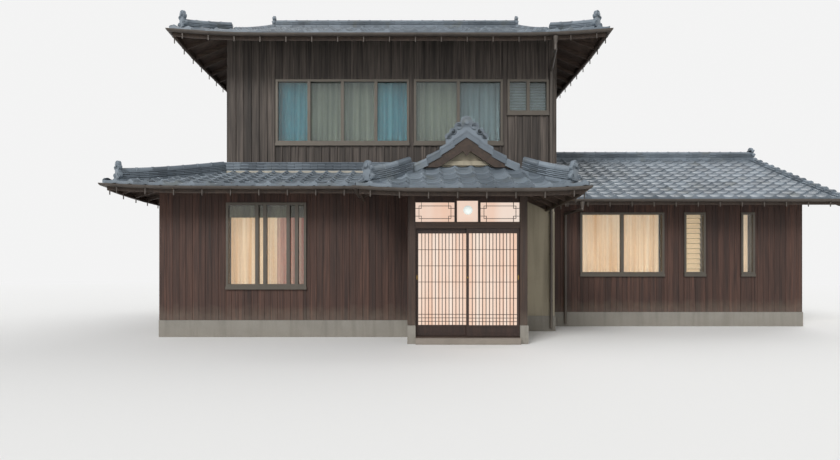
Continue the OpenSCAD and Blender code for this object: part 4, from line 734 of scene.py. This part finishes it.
def lay(piece, slope, x, u, z, columns, rows, cuts=(), loose=True):
    """Lays a tile at its first place on a flat slope, repeats it in columns and rows, cuts the field
    along the hips or a valley, and settles it on its roof. Loose tiles lie a little unevenly."""
    each = len(piece.data.vertices)
    piece.data.transform(Matrix.Translation((x, u, z)))
    repeat(piece, (slope.pitch, 0, 0), columns)
    repeat(piece, (0, slope.exposure, 0), rows, (0, 1))
    if loose:
        ruffle(piece, each, slope.draws)
    cut_away(piece, *cuts)
    points = points_of(piece)
    far = np.full(len(points), slope.roof.reach)
    low = points[:, 0] if slope.low else far
    high = slope.width - points[:, 0] if slope.high else far
    points[:, 2] += face_z(slope.roof, points[:, 1], low, high) - bed
    set_points(piece, points)
    piece.data.transform(slope.place)
    return piece


roof_tile, tree, shader, place = new_material("roof_tile", "#66707a", 0.45)
own = use_group(tree, piece_tone, Low=0.84, High=1.1)
uneven = use_group(tree, blotches, Vector=place, Scale=5.0, Amount=0.35)
fired = mix_colours(tree, own["Value"], tint("#5b656e"), tint("#737d86"))
colour = toned(tree, own["Tone"], toned(tree, uneven["Tone"], fired))
lichen = stretch(tree, noise(tree, place, 2.3, 6.0, 0.5), 0.58, 0.72, 0.0, 0.5)
link(tree, shader.inputs, Base_Color=mix_colours(tree, lichen, colour, tint("#5f625a")),
     Roughness=stretch(tree, uneven["Tone"], 0.7, 1.3, 0.34, 0.6))
emboss(tree, shader, uneven["Height"], 0.35, 0.002)
dress(roof_tile, "main_roof_tiles", "pent_roof_tiles", "porch_roof_tiles", "wing_roof_tiles",
      "main_ridges", "pent_ridge", "porch_ridges", "wing_ridge")


def cover(node, name, pieces):
    """Joins tiles in one piece that stands for a plain CAD node."""
    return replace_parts(complete(pieces, name, roof_tile, smooth=40), node)


def new_slope(roof, place, width, pitch, exposure, seed, low=False, high=False):
    """A slope: its roof, its place, the size of its tiles, and which ends of its eave turn up."""
    return SimpleNamespace(roof=roof, place=place, width=width, pitch=pitch, exposure=exposure, low=low,
                           high=high, draws=random.Random(seed))


def hips(slope, shift=0.0):
    """The upright planes over the hips at the turned-up ends of a slope."""
    planes = ((slope.low, shift, -1), (slope.high, slope.width - shift, 1))
    return [((x, 0, 0), (way, 1, 0)) for present, x, way in planes if present]


def tile_slope(name, slope, fields, verges=(), noses=None):
    """Lays fields, as (columns, x, first row, rows, cuts), verges, as (x, first row, rows, whether on
    the right), and noses, as (columns, x, cuts). The noses are those of the first field if not given."""
    pitch, exposure, first_u, verge_u, verge_z = slope.pitch, slope.exposure, 0.014, 0.004, 0.012
    length = exposure + tile_lap

    def pantile(across, up):
        return across * pitch, up * length, tile_profile(across) + nose_h * (1 - up)
    made = [lay(form(pantile, tile_steps, 1, tile_t), slope, x, row * exposure + first_u, 0, columns, rows,
                cuts) for columns, x, row, rows, cuts in fields]
    columns, x, cuts = noses or (*fields[0][:2], fields[0][-1])
    made.append(lay(nose_tile(pitch), slope, x, 0, 0, columns, 1, cuts, loose=False))
    made += [lay(verge_tile(length, on_right), slope, x, row * exposure + verge_u, verge_z, 1, rows)
             for x, row, rows, on_right in verges]
    cover(slope.roof.node, name + "_tiles", made)


def tile_end(name, slope, verge, low_rows, rows):
    """An end slope: it runs out to the hips, and above the foot of the verges it stops under them."""
    roof, columns, verge_drop = slope.roof, round(slope.width / slope.pitch), 0.101
    tuck = verge_drop / (roof.slope + 2 * roof.sag * verge)
    tile_slope(name, slope, [(columns, 0, 0, low_rows, hips(slope)),
                             (columns, 0, low_rows, rows - low_rows, hips(slope, tuck))])


# The main roof: the front and rear slopes carry tiles from eave to ridge between their verges,
# and below the verges they run out to the hips. The end slopes stop against the gables.
main_over, main_verge, main_gable = 0.85, 0.9, 1.21
main_x0, main_x1 = upper_left_x - main_over, right_x + main_over
main_y0, main_y1 = upper_front_y - main_over, rear_y + main_over
main_w, main_d, main_mid_y = main_x1 - main_x0, main_y1 - main_y0, (main_y0 + main_y1) / 2
main_run = main_d / 2
columns, rows = round((main_w - 2 * main_verge) / tile_w), round(main_run / tile_exposure)
pitch, exposure = (main_w - 2 * main_verge) / columns, main_run / rows
low_rows, spare = round(main_verge / exposure), math.ceil(main_verge / pitch)
for name, place in (("main_front", side(main_x0, main_y0, 0)), ("main_rear", side(main_x1, main_y1, 2))):
    slope = new_slope(main, place, main_w, pitch, exposure, 3, True, True)
    tile_slope(name, slope, [(columns + 2 * spare, main_verge - spare * pitch, 0, low_rows, hips(slope)),
                             (columns, main_verge, low_rows, rows - low_rows, ())],
               [(x, low_rows, rows - low_rows, on_right) for x, on_right in
                ((main_verge, False), (main_w - main_verge, True))])
for name, place in (("main_left", side(main_x0, main_y1, -1)), ("main_right", side(main_x1, main_y0, 1))):
    slope = new_slope(main, place, main_d, main_d / round(main_d / tile_w), exposure, 4, True, True)
    tile_end(name, slope, main_verge, low_rows, math.ceil(main_gable / exposure))

# The pent roof over the ground floor, in front and at the left end of the house.
pent_over, pent_rear_over, porch_over, pent_rows, pent_pitch = 0.72, 0.3, 0.85, 7, 0.2555
pent_x0, pent_y0, pent_y1 = left_x - pent_over, front_y - pent_over, rear_y + pent_rear_over
pent_run, pent_d = half_ken + pent_over - wall_out, pent_y1 - pent_y0
porch_run = porch_x + porch_over


def porch_run_at(z):
    """The run at which the porch roof reaches a height."""
    slope, sag = porch.slope, porch.sag
    return (-slope + math.sqrt(slope ** 2 + 4 * sag * (z - porch.eave))) / (2 * sag)


valley_foot = (-porch_run + porch_run_at(rise(pent, 0)), pent_y0)
valley_head = (-porch_run + porch_run_at(rise(pent, pent_run)), pent_y0 + pent_run)
valley_x, valley_y = valley_head[0] - valley_foot[0], valley_head[1] - valley_foot[1]
foot_x, head_x = valley_foot[0] - pent_x0, valley_head[0] - pent_x0
pent_front = new_slope(pent, side(pent_x0, pent_y0, 0), head_x, pent_pitch, pent_run / pent_rows, 5, low=True)
columns = math.ceil(head_x / pent_pitch)
tile_slope("pent_front", pent_front,
           [(columns, 0, 0, pent_rows, hips(pent_front) + [((foot_x, 0, 0), (valley_y, -valley_x, 0))])],
           noses=(columns, 0, hips(pent_front) + [((foot_x, 0, 0), (1, 0, 0))]))
columns = round(pent_d / pent_pitch)
pent_left = new_slope(pent, side(pent_x0, pent_y1, -1), pent_d, pent_d / columns, pent_run / pent_rows, 6,
                      high=True)
tile_slope("pent_left", pent_left, [(columns, 0, 0, pent_rows, hips(pent_left))], [(0, 0, pent_rows, False)])

# The porch roof: a short slope over the doors, and two slopes that rise to a ridge above them
# and end in verges. The left one dies into the pent roof along a valley.
porch_y0, porch_y1, porch_verge, porch_gable, porch_rows = -0.7, upper_front_y - wall_out, 0.83, 0.96, 8
porch_w, porch_d, exposure = 2 * porch_run, porch_y1 - porch_y0, porch_run / porch_rows
low_rows = round(porch_verge / exposure)
upper_rows = porch_rows - low_rows
slope = new_slope(porch, side(-porch_run, porch_y0, 0), porch_w, porch_w / round(porch_w / tile_w), exposure,
                  7, True, True)
tile_end("porch_front", slope, porch_verge, low_rows, math.ceil(porch_gable / exposure))

back, verge_x = porch_y1 - valley_foot[1], porch_d - porch_verge
back_columns = round(back / tile_w)
pitch = back / back_columns
front_columns = math.ceil((porch_d - back) / pitch)
slope = new_slope(porch, side(-porch_run, porch_y1, -1), porch_d, pitch, exposure, 8, high=True)
valley_cut = ((back, valley_foot[0] + porch_run, 0), (-valley_x, -valley_y, 0))
tile_slope("porch_left", slope,
           [(back_columns, 0, 0, low_rows, [valley_cut]), (front_columns, back, 0, low_rows, hips(slope)),
            (back_columns, 0, low_rows, upper_rows, [valley_cut, ((verge_x, 0, 0), (1, 0, 0))])],
           [(verge_x, low_rows, upper_rows, True)], (front_columns, back, hips(slope)))

columns = round(verge_x / tile_w)
pitch = verge_x / columns
spare = math.ceil(porch_verge / pitch)
slope = new_slope(porch, side(porch_run, porch_y0, 1), porch_d, pitch, exposure, 9, low=True)
tile_slope("porch_right", slope, [(columns + spare, porch_verge - spare * pitch, 0, low_rows, hips(slope)),
                                  (columns, porch_verge, low_rows, upper_rows, ())],
           [(porch_verge, low_rows, upper_rows, False)])

# The wing's roof: two plain slopes from the side of the house out to a verge.
wing_over, wing_end_over = 0.75, 0.42
wing_x0, wing_x1 = right_x + wall_out, wing_x + wing_end_over
wing_y0, wing_y1 = wing_front_y - wing_over, wing_rear_y + wing_over
wing_w, wing_run, wing_mid_y = wing_x1 - wing_x0, (wing_y1 - wing_y0) / 2, (wing_y0 + wing_y1) / 2
rows, columns = round(wing_run / tile_exposure), round(wing_w / tile_w)
for name, place, verge in (("wing_front", side(wing_x0, wing_y0, 0), (wing_w, 0, rows, True)),
                           ("wing_rear", side(wing_x1, wing_y1, 2), (0, 0, rows, False))):
    slope = new_slope(wing, place, wing_w, wing_w / columns, wing_run / rows, 10)
    tile_slope(name, slope, [(columns, 0, 0, rows, ())], [verge])

# Ridges
# Courses of flat ridge tiles bedded on clay, each a little narrower than the one below, under
# a row of half-round tiles whose collars lap. Along the hips they bend with the roof.
ridge_w, course_h, cap_r, ridge_tile_l = 0.25, 0.03, 0.065, 0.3


def bend(piece, foot, direction, height):
    """Carries a piece laid out along X onto a line over the ground, level or by a function of X."""
    along = Vector((*direction, 0)).normalized()
    points = points_of(piece)
    placed = np.array([foot]) + points[:, :2] @ np.array([along[:2], (-along.y, along.x)])
    up = height(points[:, 0]) if callable(height) else height
    set_points(piece, np.column_stack([placed, points[:, 2] + up]))
    return piece


def lay_course(first, step, count, near, far, low, high, cuts):
    """A course of flat tiles along X, cut off at both ends."""
    joint = 0.002
    tile = block((first + joint, near, low), (first + step - joint, far, high))
    ease_edges(tile, 0.004)
    repeat(tile, (step, 0, 0), count)
    cut_away(tile, *cuts, fill=True)
    return tile


def lay_ridge(length, courses, width, foot=0.06):
    """A straight ridge from X = 0 to its length, standing on Z = 0."""
    taper, cap_l, core_l, in_end, top = 0.016, 0.26, 0.15, 0.001, courses * course_h
    step = length / round(length / ridge_tile_l)
    ends = [((in_end, 0, 0), (-1, 0, 0)), ((length - in_end, 0, 0), (1, 0, 0))]
    made = []
    for number in range(-1, courses):
        low, high = number * course_h + 0.005, (number + 1) * course_h - 0.004
        half, shift = (width - max(number, 0) * taper) / 2, step / 2 if number % 2 else 0
        made.append(lay_course(-shift, step, round(length / step) + bool(shift), -half, half,
                               low - (foot if number < 0 else 0), high, ends))
    count = max(1, round(length / core_l))
    core_half = (width - (courses + 1) * taper) / 2 - 0.012
    core = block((0, -core_half, -foot), (length / count, core_half, top + 0.01))
    repeat(core, (length / count, 0, 0), count)
    made.append(core)
    count = max(1, round(length / cap_l))
    step = length / count
    for radius, near, far in ((cap_r, 0.0, step), (cap_r + 0.006, 0.002, 0.04)):
        cap = cylinder(radius, far - near, ((near + far) / 2, 0, top), 20, along_x)
        cut_away(cap, ((0, 0, top - 0.004), (0, 0, -1)), fill=True)
        ease_edges(cap, 0.003)
        repeat(cap, (step, 0, 0), count)
        made.append(cap)
    return join(made)


def disc(x, z, radius, front, back, sides=24, ease=0.006):
    """A round plate that faces -Y."""
    made = cylinder(radius, back - front, (x, (front + back) / 2, z), sides)
    ease_edges(made, ease, 2)
    return made


def arc(x, z, radius, thick, first, last):
    """A rounded moulding along part of a circle that faces -Y, with angles in turns."""
    turn, sweep = 2 * math.pi * first, 2 * math.pi * (last - first)
    made = primitive(bpy.ops.mesh.primitive_circle_add, vertices=8, radius=thick, rotation=(0, -turn, 0),
                     location=(x + radius * math.cos(turn), 0, z + radius * math.sin(turn)))
    edit(made, bpy.ops.mesh.spin, steps=max(3, round(20 * abs(last - first))), angle=sweep, center=(x, 0, z),
         axis=(0, 1, 0))
    edit(made, bpy.ops.mesh.normals_make_consistent, inside=False)
    return made


def add_to_scene(name, data):
    made = bpy.data.objects.new(name, data)
    bpy.context.scene.collection.objects.link(made)
    return made


def scroll(x, z, radius, way):
    """A spiral moulding in relief, wound one way or the other."""
    steps, turns, front = 26, 1.6, -0.002
    data = bpy.data.curves.new("scroll", "CURVE")
    data.dimensions = "3D"
    data.bevel_depth, data.bevel_resolution = radius * 0.13, 1
    line = data.splines.new("POLY")
    line.points.add(steps)
    for number, point in enumerate(line.points):
        share = number / steps
        reach, angle = radius * (0.95 - 0.8 * share), 2 * math.pi * turns * share
        point.co = (x + way * reach * math.cos(angle), front, z + reach * math.sin(angle), 1)
        point.radius = 1.1 - 0.5 * share
    select_only([add_to_scene("scroll", data)])
    bpy.ops.object.convert(target="MESH")
    made = bpy.context.object
    made.data.uv_layers.new(name="UVMap")
    return made


def shoulders(places, depth):
    """A pair of round plates with scrolls for each X, Z and radius, one on each side."""
    made = []
    for way in (-1, 1):
        for x, z, radius in places:
            made += [disc(way * x, z, radius, 0, depth), scroll(way * x, z, radius, way)]
    return made


def lay_ornament(width, height, depth):
    """A ridge-end tile that faces -Y: a crowned plate between two pairs of scrolls."""
    plate = block((-0.3 * width, 0, 0), (0.3 * width, depth, 0.72 * height))
    ease_edges(plate, 0.008, 2)
    crown_r = 0.26 * width
    crown_z = height - crown_r
    made = [plate, disc(0, crown_z, crown_r, 0, depth), disc(0, crown_z, 0.5 * crown_r, -0.016, 0.01),
            arc(0, crown_z, 0.8 * crown_r, 0.09 * crown_r, -0.1, 0.6)]
    return join(made + shoulders(((0.33 * width, 0.2 * height, 0.17 * width),
                                  (0.27 * width, 0.62 * height, 0.13 * width)), depth))


def set_facing(piece, x, y, z, quarter_turns):
    """Turns a piece that faces -Y by some quarter turns and sets it down."""
    piece.data.transform(Matrix.Translation((0, 0, z)) @ side(x, y, quarter_turns))
    return piece


def hip_ridge(roof, corner, way_x, way_y, u1, courses):
    """A ridge up a hip from an eave corner, with the ornament at its foot."""
    diagonal, u0, hip_w, ornament = math.sqrt(2), 0.17, 0.22, (0.29, 0.32, 0.06)
    set_back, sink = 0.02, 0.01

    def height(along):
        u = u0 + along / diagonal
        return face_z(roof, u, u, roof.reach)
    ridge = bend(lay_ridge((u1 - u0) * diagonal, courses, hip_w, 0.08),
                 (corner[0] + way_x * u0, corner[1] + way_y * u0), (way_x, way_y), height)
    quarter = {(1, 1): -0.5, (-1, 1): 0.5, (1, -1): -1.5, (-1, -1): 1.5}[(way_x, way_y)]
    foot, foot_z = u0 - set_back, height(0.0) - sink
    place = corner[0] + way_x * foot, corner[1] + way_y * foot, foot_z
    return [ridge, set_facing(lay_ornament(*ornament), *place, quarter)]


def lay_crown(fall, depth=0.06):
    """The tile over the porch gable: a crown from which round shoulders step down both verges."""
    radius = 0.105
    crown_z = 1.3 * radius

    def gable(across, up):
        x = np.interp(across, np.linspace(0, 1, 5), (-3.3, -1.24, 0, 1.24, 3.3)) * radius
        top = np.where(np.abs(x) > 2 * radius, -1, 1) * crown_z
        return x, 0, np.where(up > 0.5, top, -fall * np.abs(x))
    plate = form(gable, 4, 1, depth)
    ease_edges(plate, 0.006)
    made = [plate, disc(0, crown_z, radius, 0, depth), disc(0, crown_z, 0.42 * radius, -0.02, 0.01)]
    made += [arc(0, crown_z, reach * radius, 0.08 * radius, -0.15, 0.65) for reach in (0.62, 0.86)]
    return join(made + shoulders([(x * radius, z * radius, size * radius) for x, z, size in
                                  ((1.24, 0.62, 0.69), (2.14, -0.24, 0.63), (2.86, -0.95, 0.55))], depth))


def lay_flashing(length, mitre, place):
    """Courses of flat tiles against a wall from X = 0, cut to a mitre at one end."""
    courses, taper, under_set, joint = 5, 0.008, 0.012, 0.003
    count = round(length / ridge_tile_l)
    step = length / count
    ends = [((0, 0, 0), (-1, mitre, 0)), ((length, 0, 0), (1, 1 - mitre, 0))]
    made = [lay_course(-step * (0.5 if number % 2 else 1), step, count + 2,
                       -(ridge_w / 2 - taper * max(number, 0) - (under_set if number < 0 else 0)), 0,
                       number * course_h + joint, (number + 1) * course_h - joint, ends)
            for number in range(-1, courses)]
    return set_facing(join(made), *place[:2], rise(pent, pent_run), place[2])


end_tile, set_in, porch_in, hip_in, porch_hip_in = (0.3, 0.26, 0.06), 0.04, 0.05, 0.06, 0.03
porch_verge_y, porch_ridge_y, crown_fall, crown_out = porch_y0 + porch_verge, 1.7, 0.76, 0.01
main_ridge_z, porch_ridge_z, wing_ridge_z = rise(main, main_run), rise(porch, porch_run), rise(wing, wing_run)
pieces = [bend(lay_ridge(main_w - 2 * (main_verge + set_in), 3, ridge_w, 0.09),
               (main_x0 + main_verge + set_in, main_mid_y), (1, 0), main_ridge_z)]
for x, quarter in ((main_x0 + main_verge, -1), (main_x1 - main_verge, 1)):
    pieces.append(set_facing(lay_ornament(*end_tile), x, main_mid_y, main_ridge_z, quarter))
for x, y, way_x, way_y in ((main_x0, main_y0, 1, 1), (main_x1, main_y0, -1, 1),
                           (main_x0, main_y1, 1, -1), (main_x1, main_y1, -1, -1)):
    pieces += hip_ridge(main, (x, y), way_x, way_y, main_verge - hip_in, 3)
cover("main_ridges", "main_ridge_tiles", pieces)
pieces = hip_ridge(pent, (pent_x0, pent_y0), 1, 1, pent_run - hip_in, 4)
pieces.append(lay_flashing(valley_head[0] - ridge_w / 2 - upper_x, 1, (upper_x, upper_y, 0)))
pieces.append(lay_flashing(pent_y1 - upper_y, 0, (upper_x, pent_y1, -1)))
cover("pent_ridge", "pent_ridge_tiles", pieces)
pieces = [bend(lay_ridge(porch_ridge_y - porch_verge_y - porch_in, 2, ridge_w, 0.11),
               (0, porch_verge_y + porch_in), (0, 1), porch_ridge_z),
          set_facing(lay_crown(crown_fall), 0, porch_verge_y - crown_out, porch_ridge_z, 0)]
for way in (-1, 1):
    pieces += hip_ridge(porch, (-way * porch_run, porch_y0), way, 1, porch_verge - porch_hip_in, 5)
cover("porch_ridges", "porch_ridge_tiles", pieces)
cover("wing_ridge", "wing_ridge_tiles", [
    bend(lay_ridge(wing_w - set_in, 3, ridge_w, 0.09), (wing_x0, wing_mid_y), (1, 0), wing_ridge_z),
    set_facing(lay_ornament(*end_tile), wing_x1, wing_mid_y, wing_ridge_z, 1)])

# Plaster crescents
# Pale lime plaster that closes the hollow of each pan under the flashing of the pent roof,
# smoothed by hand into a crescent.
crescent_u, over, under, thick, pieces = pent_run - ridge_w / 2 + 0.01, 0.006, 0.004, 0.02, []
for slope, end in ((pent_front, head_x), (pent_left, pent_d)):
    strip = form(lambda x, up: (x * slope.pitch, crescent_u,
                                np.where(up > 0.5, roll_h + over, tile_profile(x) - under)),
                 tile_steps, 1, thick)
    pieces.append(lay(strip, slope, 0, 0, 0, math.ceil(end / slope.pitch), 1,
                      hips(slope) + [((end, 0, 0), (1, 0, 0))], loose=False))
complete(pieces, "pent_crescents", aged("lime", "#b9b3a5", 0.85, 6.0, 0.2, (0.2, 0.0), 0.003))

# Gutters and downpipes
# Half-round gutters and round pipes of painted sheet metal, dark brown. The gutters lie in forged
# hooks nailed to the fascia boards, and the pipes are held by bands on arms set in the walls.
gutter_metal = aged("gutter_metal", "#564f49", 0.42, 3.0, 0.3, (0.3, 0.4), polish=(0.35, 0.55), Metallic=0.3)
dress(gutter_metal, "gutters")


def hang_hooks(roof, place, x0, x1, low=None, high=None):
    """Hooks under a gutter from x0 to x1: low and high are the turned-up ends of the eave."""
    pitch, gutter_u, fascia_u, drop, grip, rod, half = 0.455, -0.0053, 0.045, 0.078, 0.051, 0.004, 0.009
    cradle = arc(0, 0, grip, rod, 0.58, 1.0)
    stem = block((grip - rod, -half, -0.004), (grip + rod, half, 0.07))
    tail = block((-0.008, -half, -grip - 0.1), (0.008, half, -grip + 0.002))
    ease_edges(stem, 0.002)
    ease_edges(tail, 0.003)
    hook = join([cradle, stem, tail])
    hook.data.transform(Matrix.Rotation(math.pi / 2, 4, "Z"))
    points = points_of(hook)
    count = max(1, round((x1 - x0) / pitch))
    at = x0 + (np.arange(count) + 0.5) * (x1 - x0) / count
    far = np.full(count, roof.reach)
    z = face_z(roof, fascia_u, far if low is None else at - low, far if high is None else high - at) - drop
    hook = lay_copies(hook, [(points.min(0) + (x, gutter_u, up), points.max(0) + (x, gutter_u, up))
                             for x, up in zip(at, z)])
    hook.data.transform(place)
    return hook


pent_gutter_x, end_set, porch_set = -1.8, 0.06, 0.2
hooks = [hang_hooks(roof, side(x, y, turns), *span) for roof, x, y, turns, *span in (
    (main, main_x0, main_y0, 0, 0, main_w, 0, main_w), (main, main_x1, main_y1, 2, 0, main_w, 0, main_w),
    (main, main_x0, main_y1, -1, 0, main_d, 0, main_d), (main, main_x1, main_y0, 1, 0, main_d, 0, main_d),
    (pent, pent_x0, pent_y0, 0, 0, pent_gutter_x - pent_x0, 0),
    (pent, pent_x0, pent_y1, -1, end_set, pent_d, None, pent_d),
    (porch, -porch_run, porch_y0, 0, 0, porch_w, 0, porch_w),
    (porch, porch_run, porch_y0, 1, 0, porch_d - porch_set, 0),
    (wing, wing_x0, wing_y0, 0, end_set, wing_w - end_set),
    (wing, wing_x1, wing_y1, 2, end_set, wing_w - end_set))]
complete(hooks, "gutter_hooks", gutter_metal, smooth=40)


def clamp_pipe(x, y, z, way):
    """A band round a downpipe, on an arm to the wall, which lies to the rear where way is 1."""
    half, ease = 0.012, 0.003
    band = cylinder(0.034, 0.028, (x, y, z), 24, along_z)
    near, far = sorted((y + way * 0.03, y + way * 0.05))
    arm = block((x - half, near, z - half), (x + half, far, z + half))
    ease_edges(band, ease)
    ease_edges(arm, ease)
    return join([band, arm])


pipe_set, corner_set, wing_set = 0.105, 0.02, 0.51
clamps = [clamp_pipe(x, y, z, way) for x, y, way, levels in (
    (right_x - corner_set, upper_front_y - pipe_set, 1, (0.6, 1.5, 2.3, 3.6, 4.5)),
    (upper_left_x + corner_set, rear_y + pipe_set, -1, (0.6, 1.5, 2.4, 3.6, 4.5)),
    (right_x + wing_set, wing_front_y - pipe_set, 1, (0.6, 1.4, 2.2)),
    (wing_x - wing_set, wing_rear_y + pipe_set, -1, (0.6, 1.4, 2.2))) for z in levels]
complete(clamps, "pipe_clamps", gutter_metal, smooth=40)

# The porcelain knob
# A glazed white knob of three rings, fixed by one screw through its middle to the front of the
# beam end at the right of the doors.
knob_x, knob_z, beam_y = 1.1, 2.476, -0.045
rings = [disc(knob_x, knob_z, radius, beam_y - front, beam_y - back, 32, 0.004)
         for radius, front, back in ((0.032, 0.018, -0.002), (0.02, 0.03, 0.016), (0.03, 0.046, 0.028))]
complete(rings, "porcelain_knob", aged("porcelain", "#e6e4de", 0.12, 7.0, 0.08), smooth=40)

# The floor, the light and the camera
# A plain pale floor that only keeps the shadow of the house, a broad soft sun from the left and a
# weaker one from the right rear, and a camera at eye height in front, square to the house.
ground = primitive(bpy.ops.mesh.primitive_plane_add, size=180.0, location=(0, 0, -0.002))
ground.name = "floor"
floor_paint, tree, shader, place = new_material("floor_paint", "#e7e7e6", 0.9)
haze_from, haze_to = 11, 45
flat = add_node(tree, "VectorMath", {0: place}, operation="LENGTH").outputs["Value"]
seen = calculate(tree, "MULTIPLY", stretch(tree, flat, haze_from, haze_to),
                 add_node(tree, "LightPath").outputs["Is Camera Ray"])
haze = add_node(tree, "Emission", {"Color": (0.9, 0.9, 0.9, 1), "Strength": 1.0})
faded = add_node(tree, "MixShader", {0: seen, 1: shader.outputs[0], 2: haze.outputs[0]})
link(tree, tree.nodes["Material Output"].inputs, Surface=faded.outputs[0])
ground.data.materials.append(floor_paint)
world = bpy.data.worlds.new("world")
bpy.context.scene.world = world
world.use_nodes = True
tree = world.node_tree
tree.nodes.clear()
sky = add_node(tree, "Background", {"Color": (1, 1, 1, 1), "Strength": 0.5})
shown = add_node(tree, "Background", {"Color": (0.9, 0.9, 0.9, 1), "Strength": 1.0})
path = add_node(tree, "LightPath").outputs
seen = calculate(tree, "MAXIMUM", path["Is Camera Ray"], path["Is Glossy Ray"])
seen = calculate(tree, "MAXIMUM", seen, path["Is Transmission Ray"])
either = add_node(tree, "MixShader", {0: seen, 1: sky.outputs[0], 2: shown.outputs[0]})
link(tree, add_node(tree, "OutputWorld").inputs, Surface=either.outputs[0])

for name, strength, direction, spread in (("front_sun", 2.0, (0.5, 0.9, -0.75), 25),
                                          ("rear_sun", 0.8, (-0.6, -0.7, -0.9), 40)):
    lamp = add_to_scene(name, bpy.data.lights.new(name, "SUN"))
    lamp.data.energy, lamp.data.angle = strength, math.radians(spread)
    lamp.rotation_mode = "QUATERNION"
    lamp.rotation_quaternion = Vector(direction).to_track_quat("-Z", "Y")

camera = add_to_scene("camera", bpy.data.cameras.new("camera"))
bpy.context.scene.camera = camera
camera.location = (-0.94, -9.16, 1.25)
camera.rotation_euler = (math.pi / 2, 0, 0)
camera.data.sensor_width, camera.data.lens, camera.data.clip_end = 36.0, 24.0, 400.0
camera.data.shift_x, camera.data.shift_y = 10 / 840, 37 / 840
bpy.context.scene.view_settings.view_transform = "Standard"
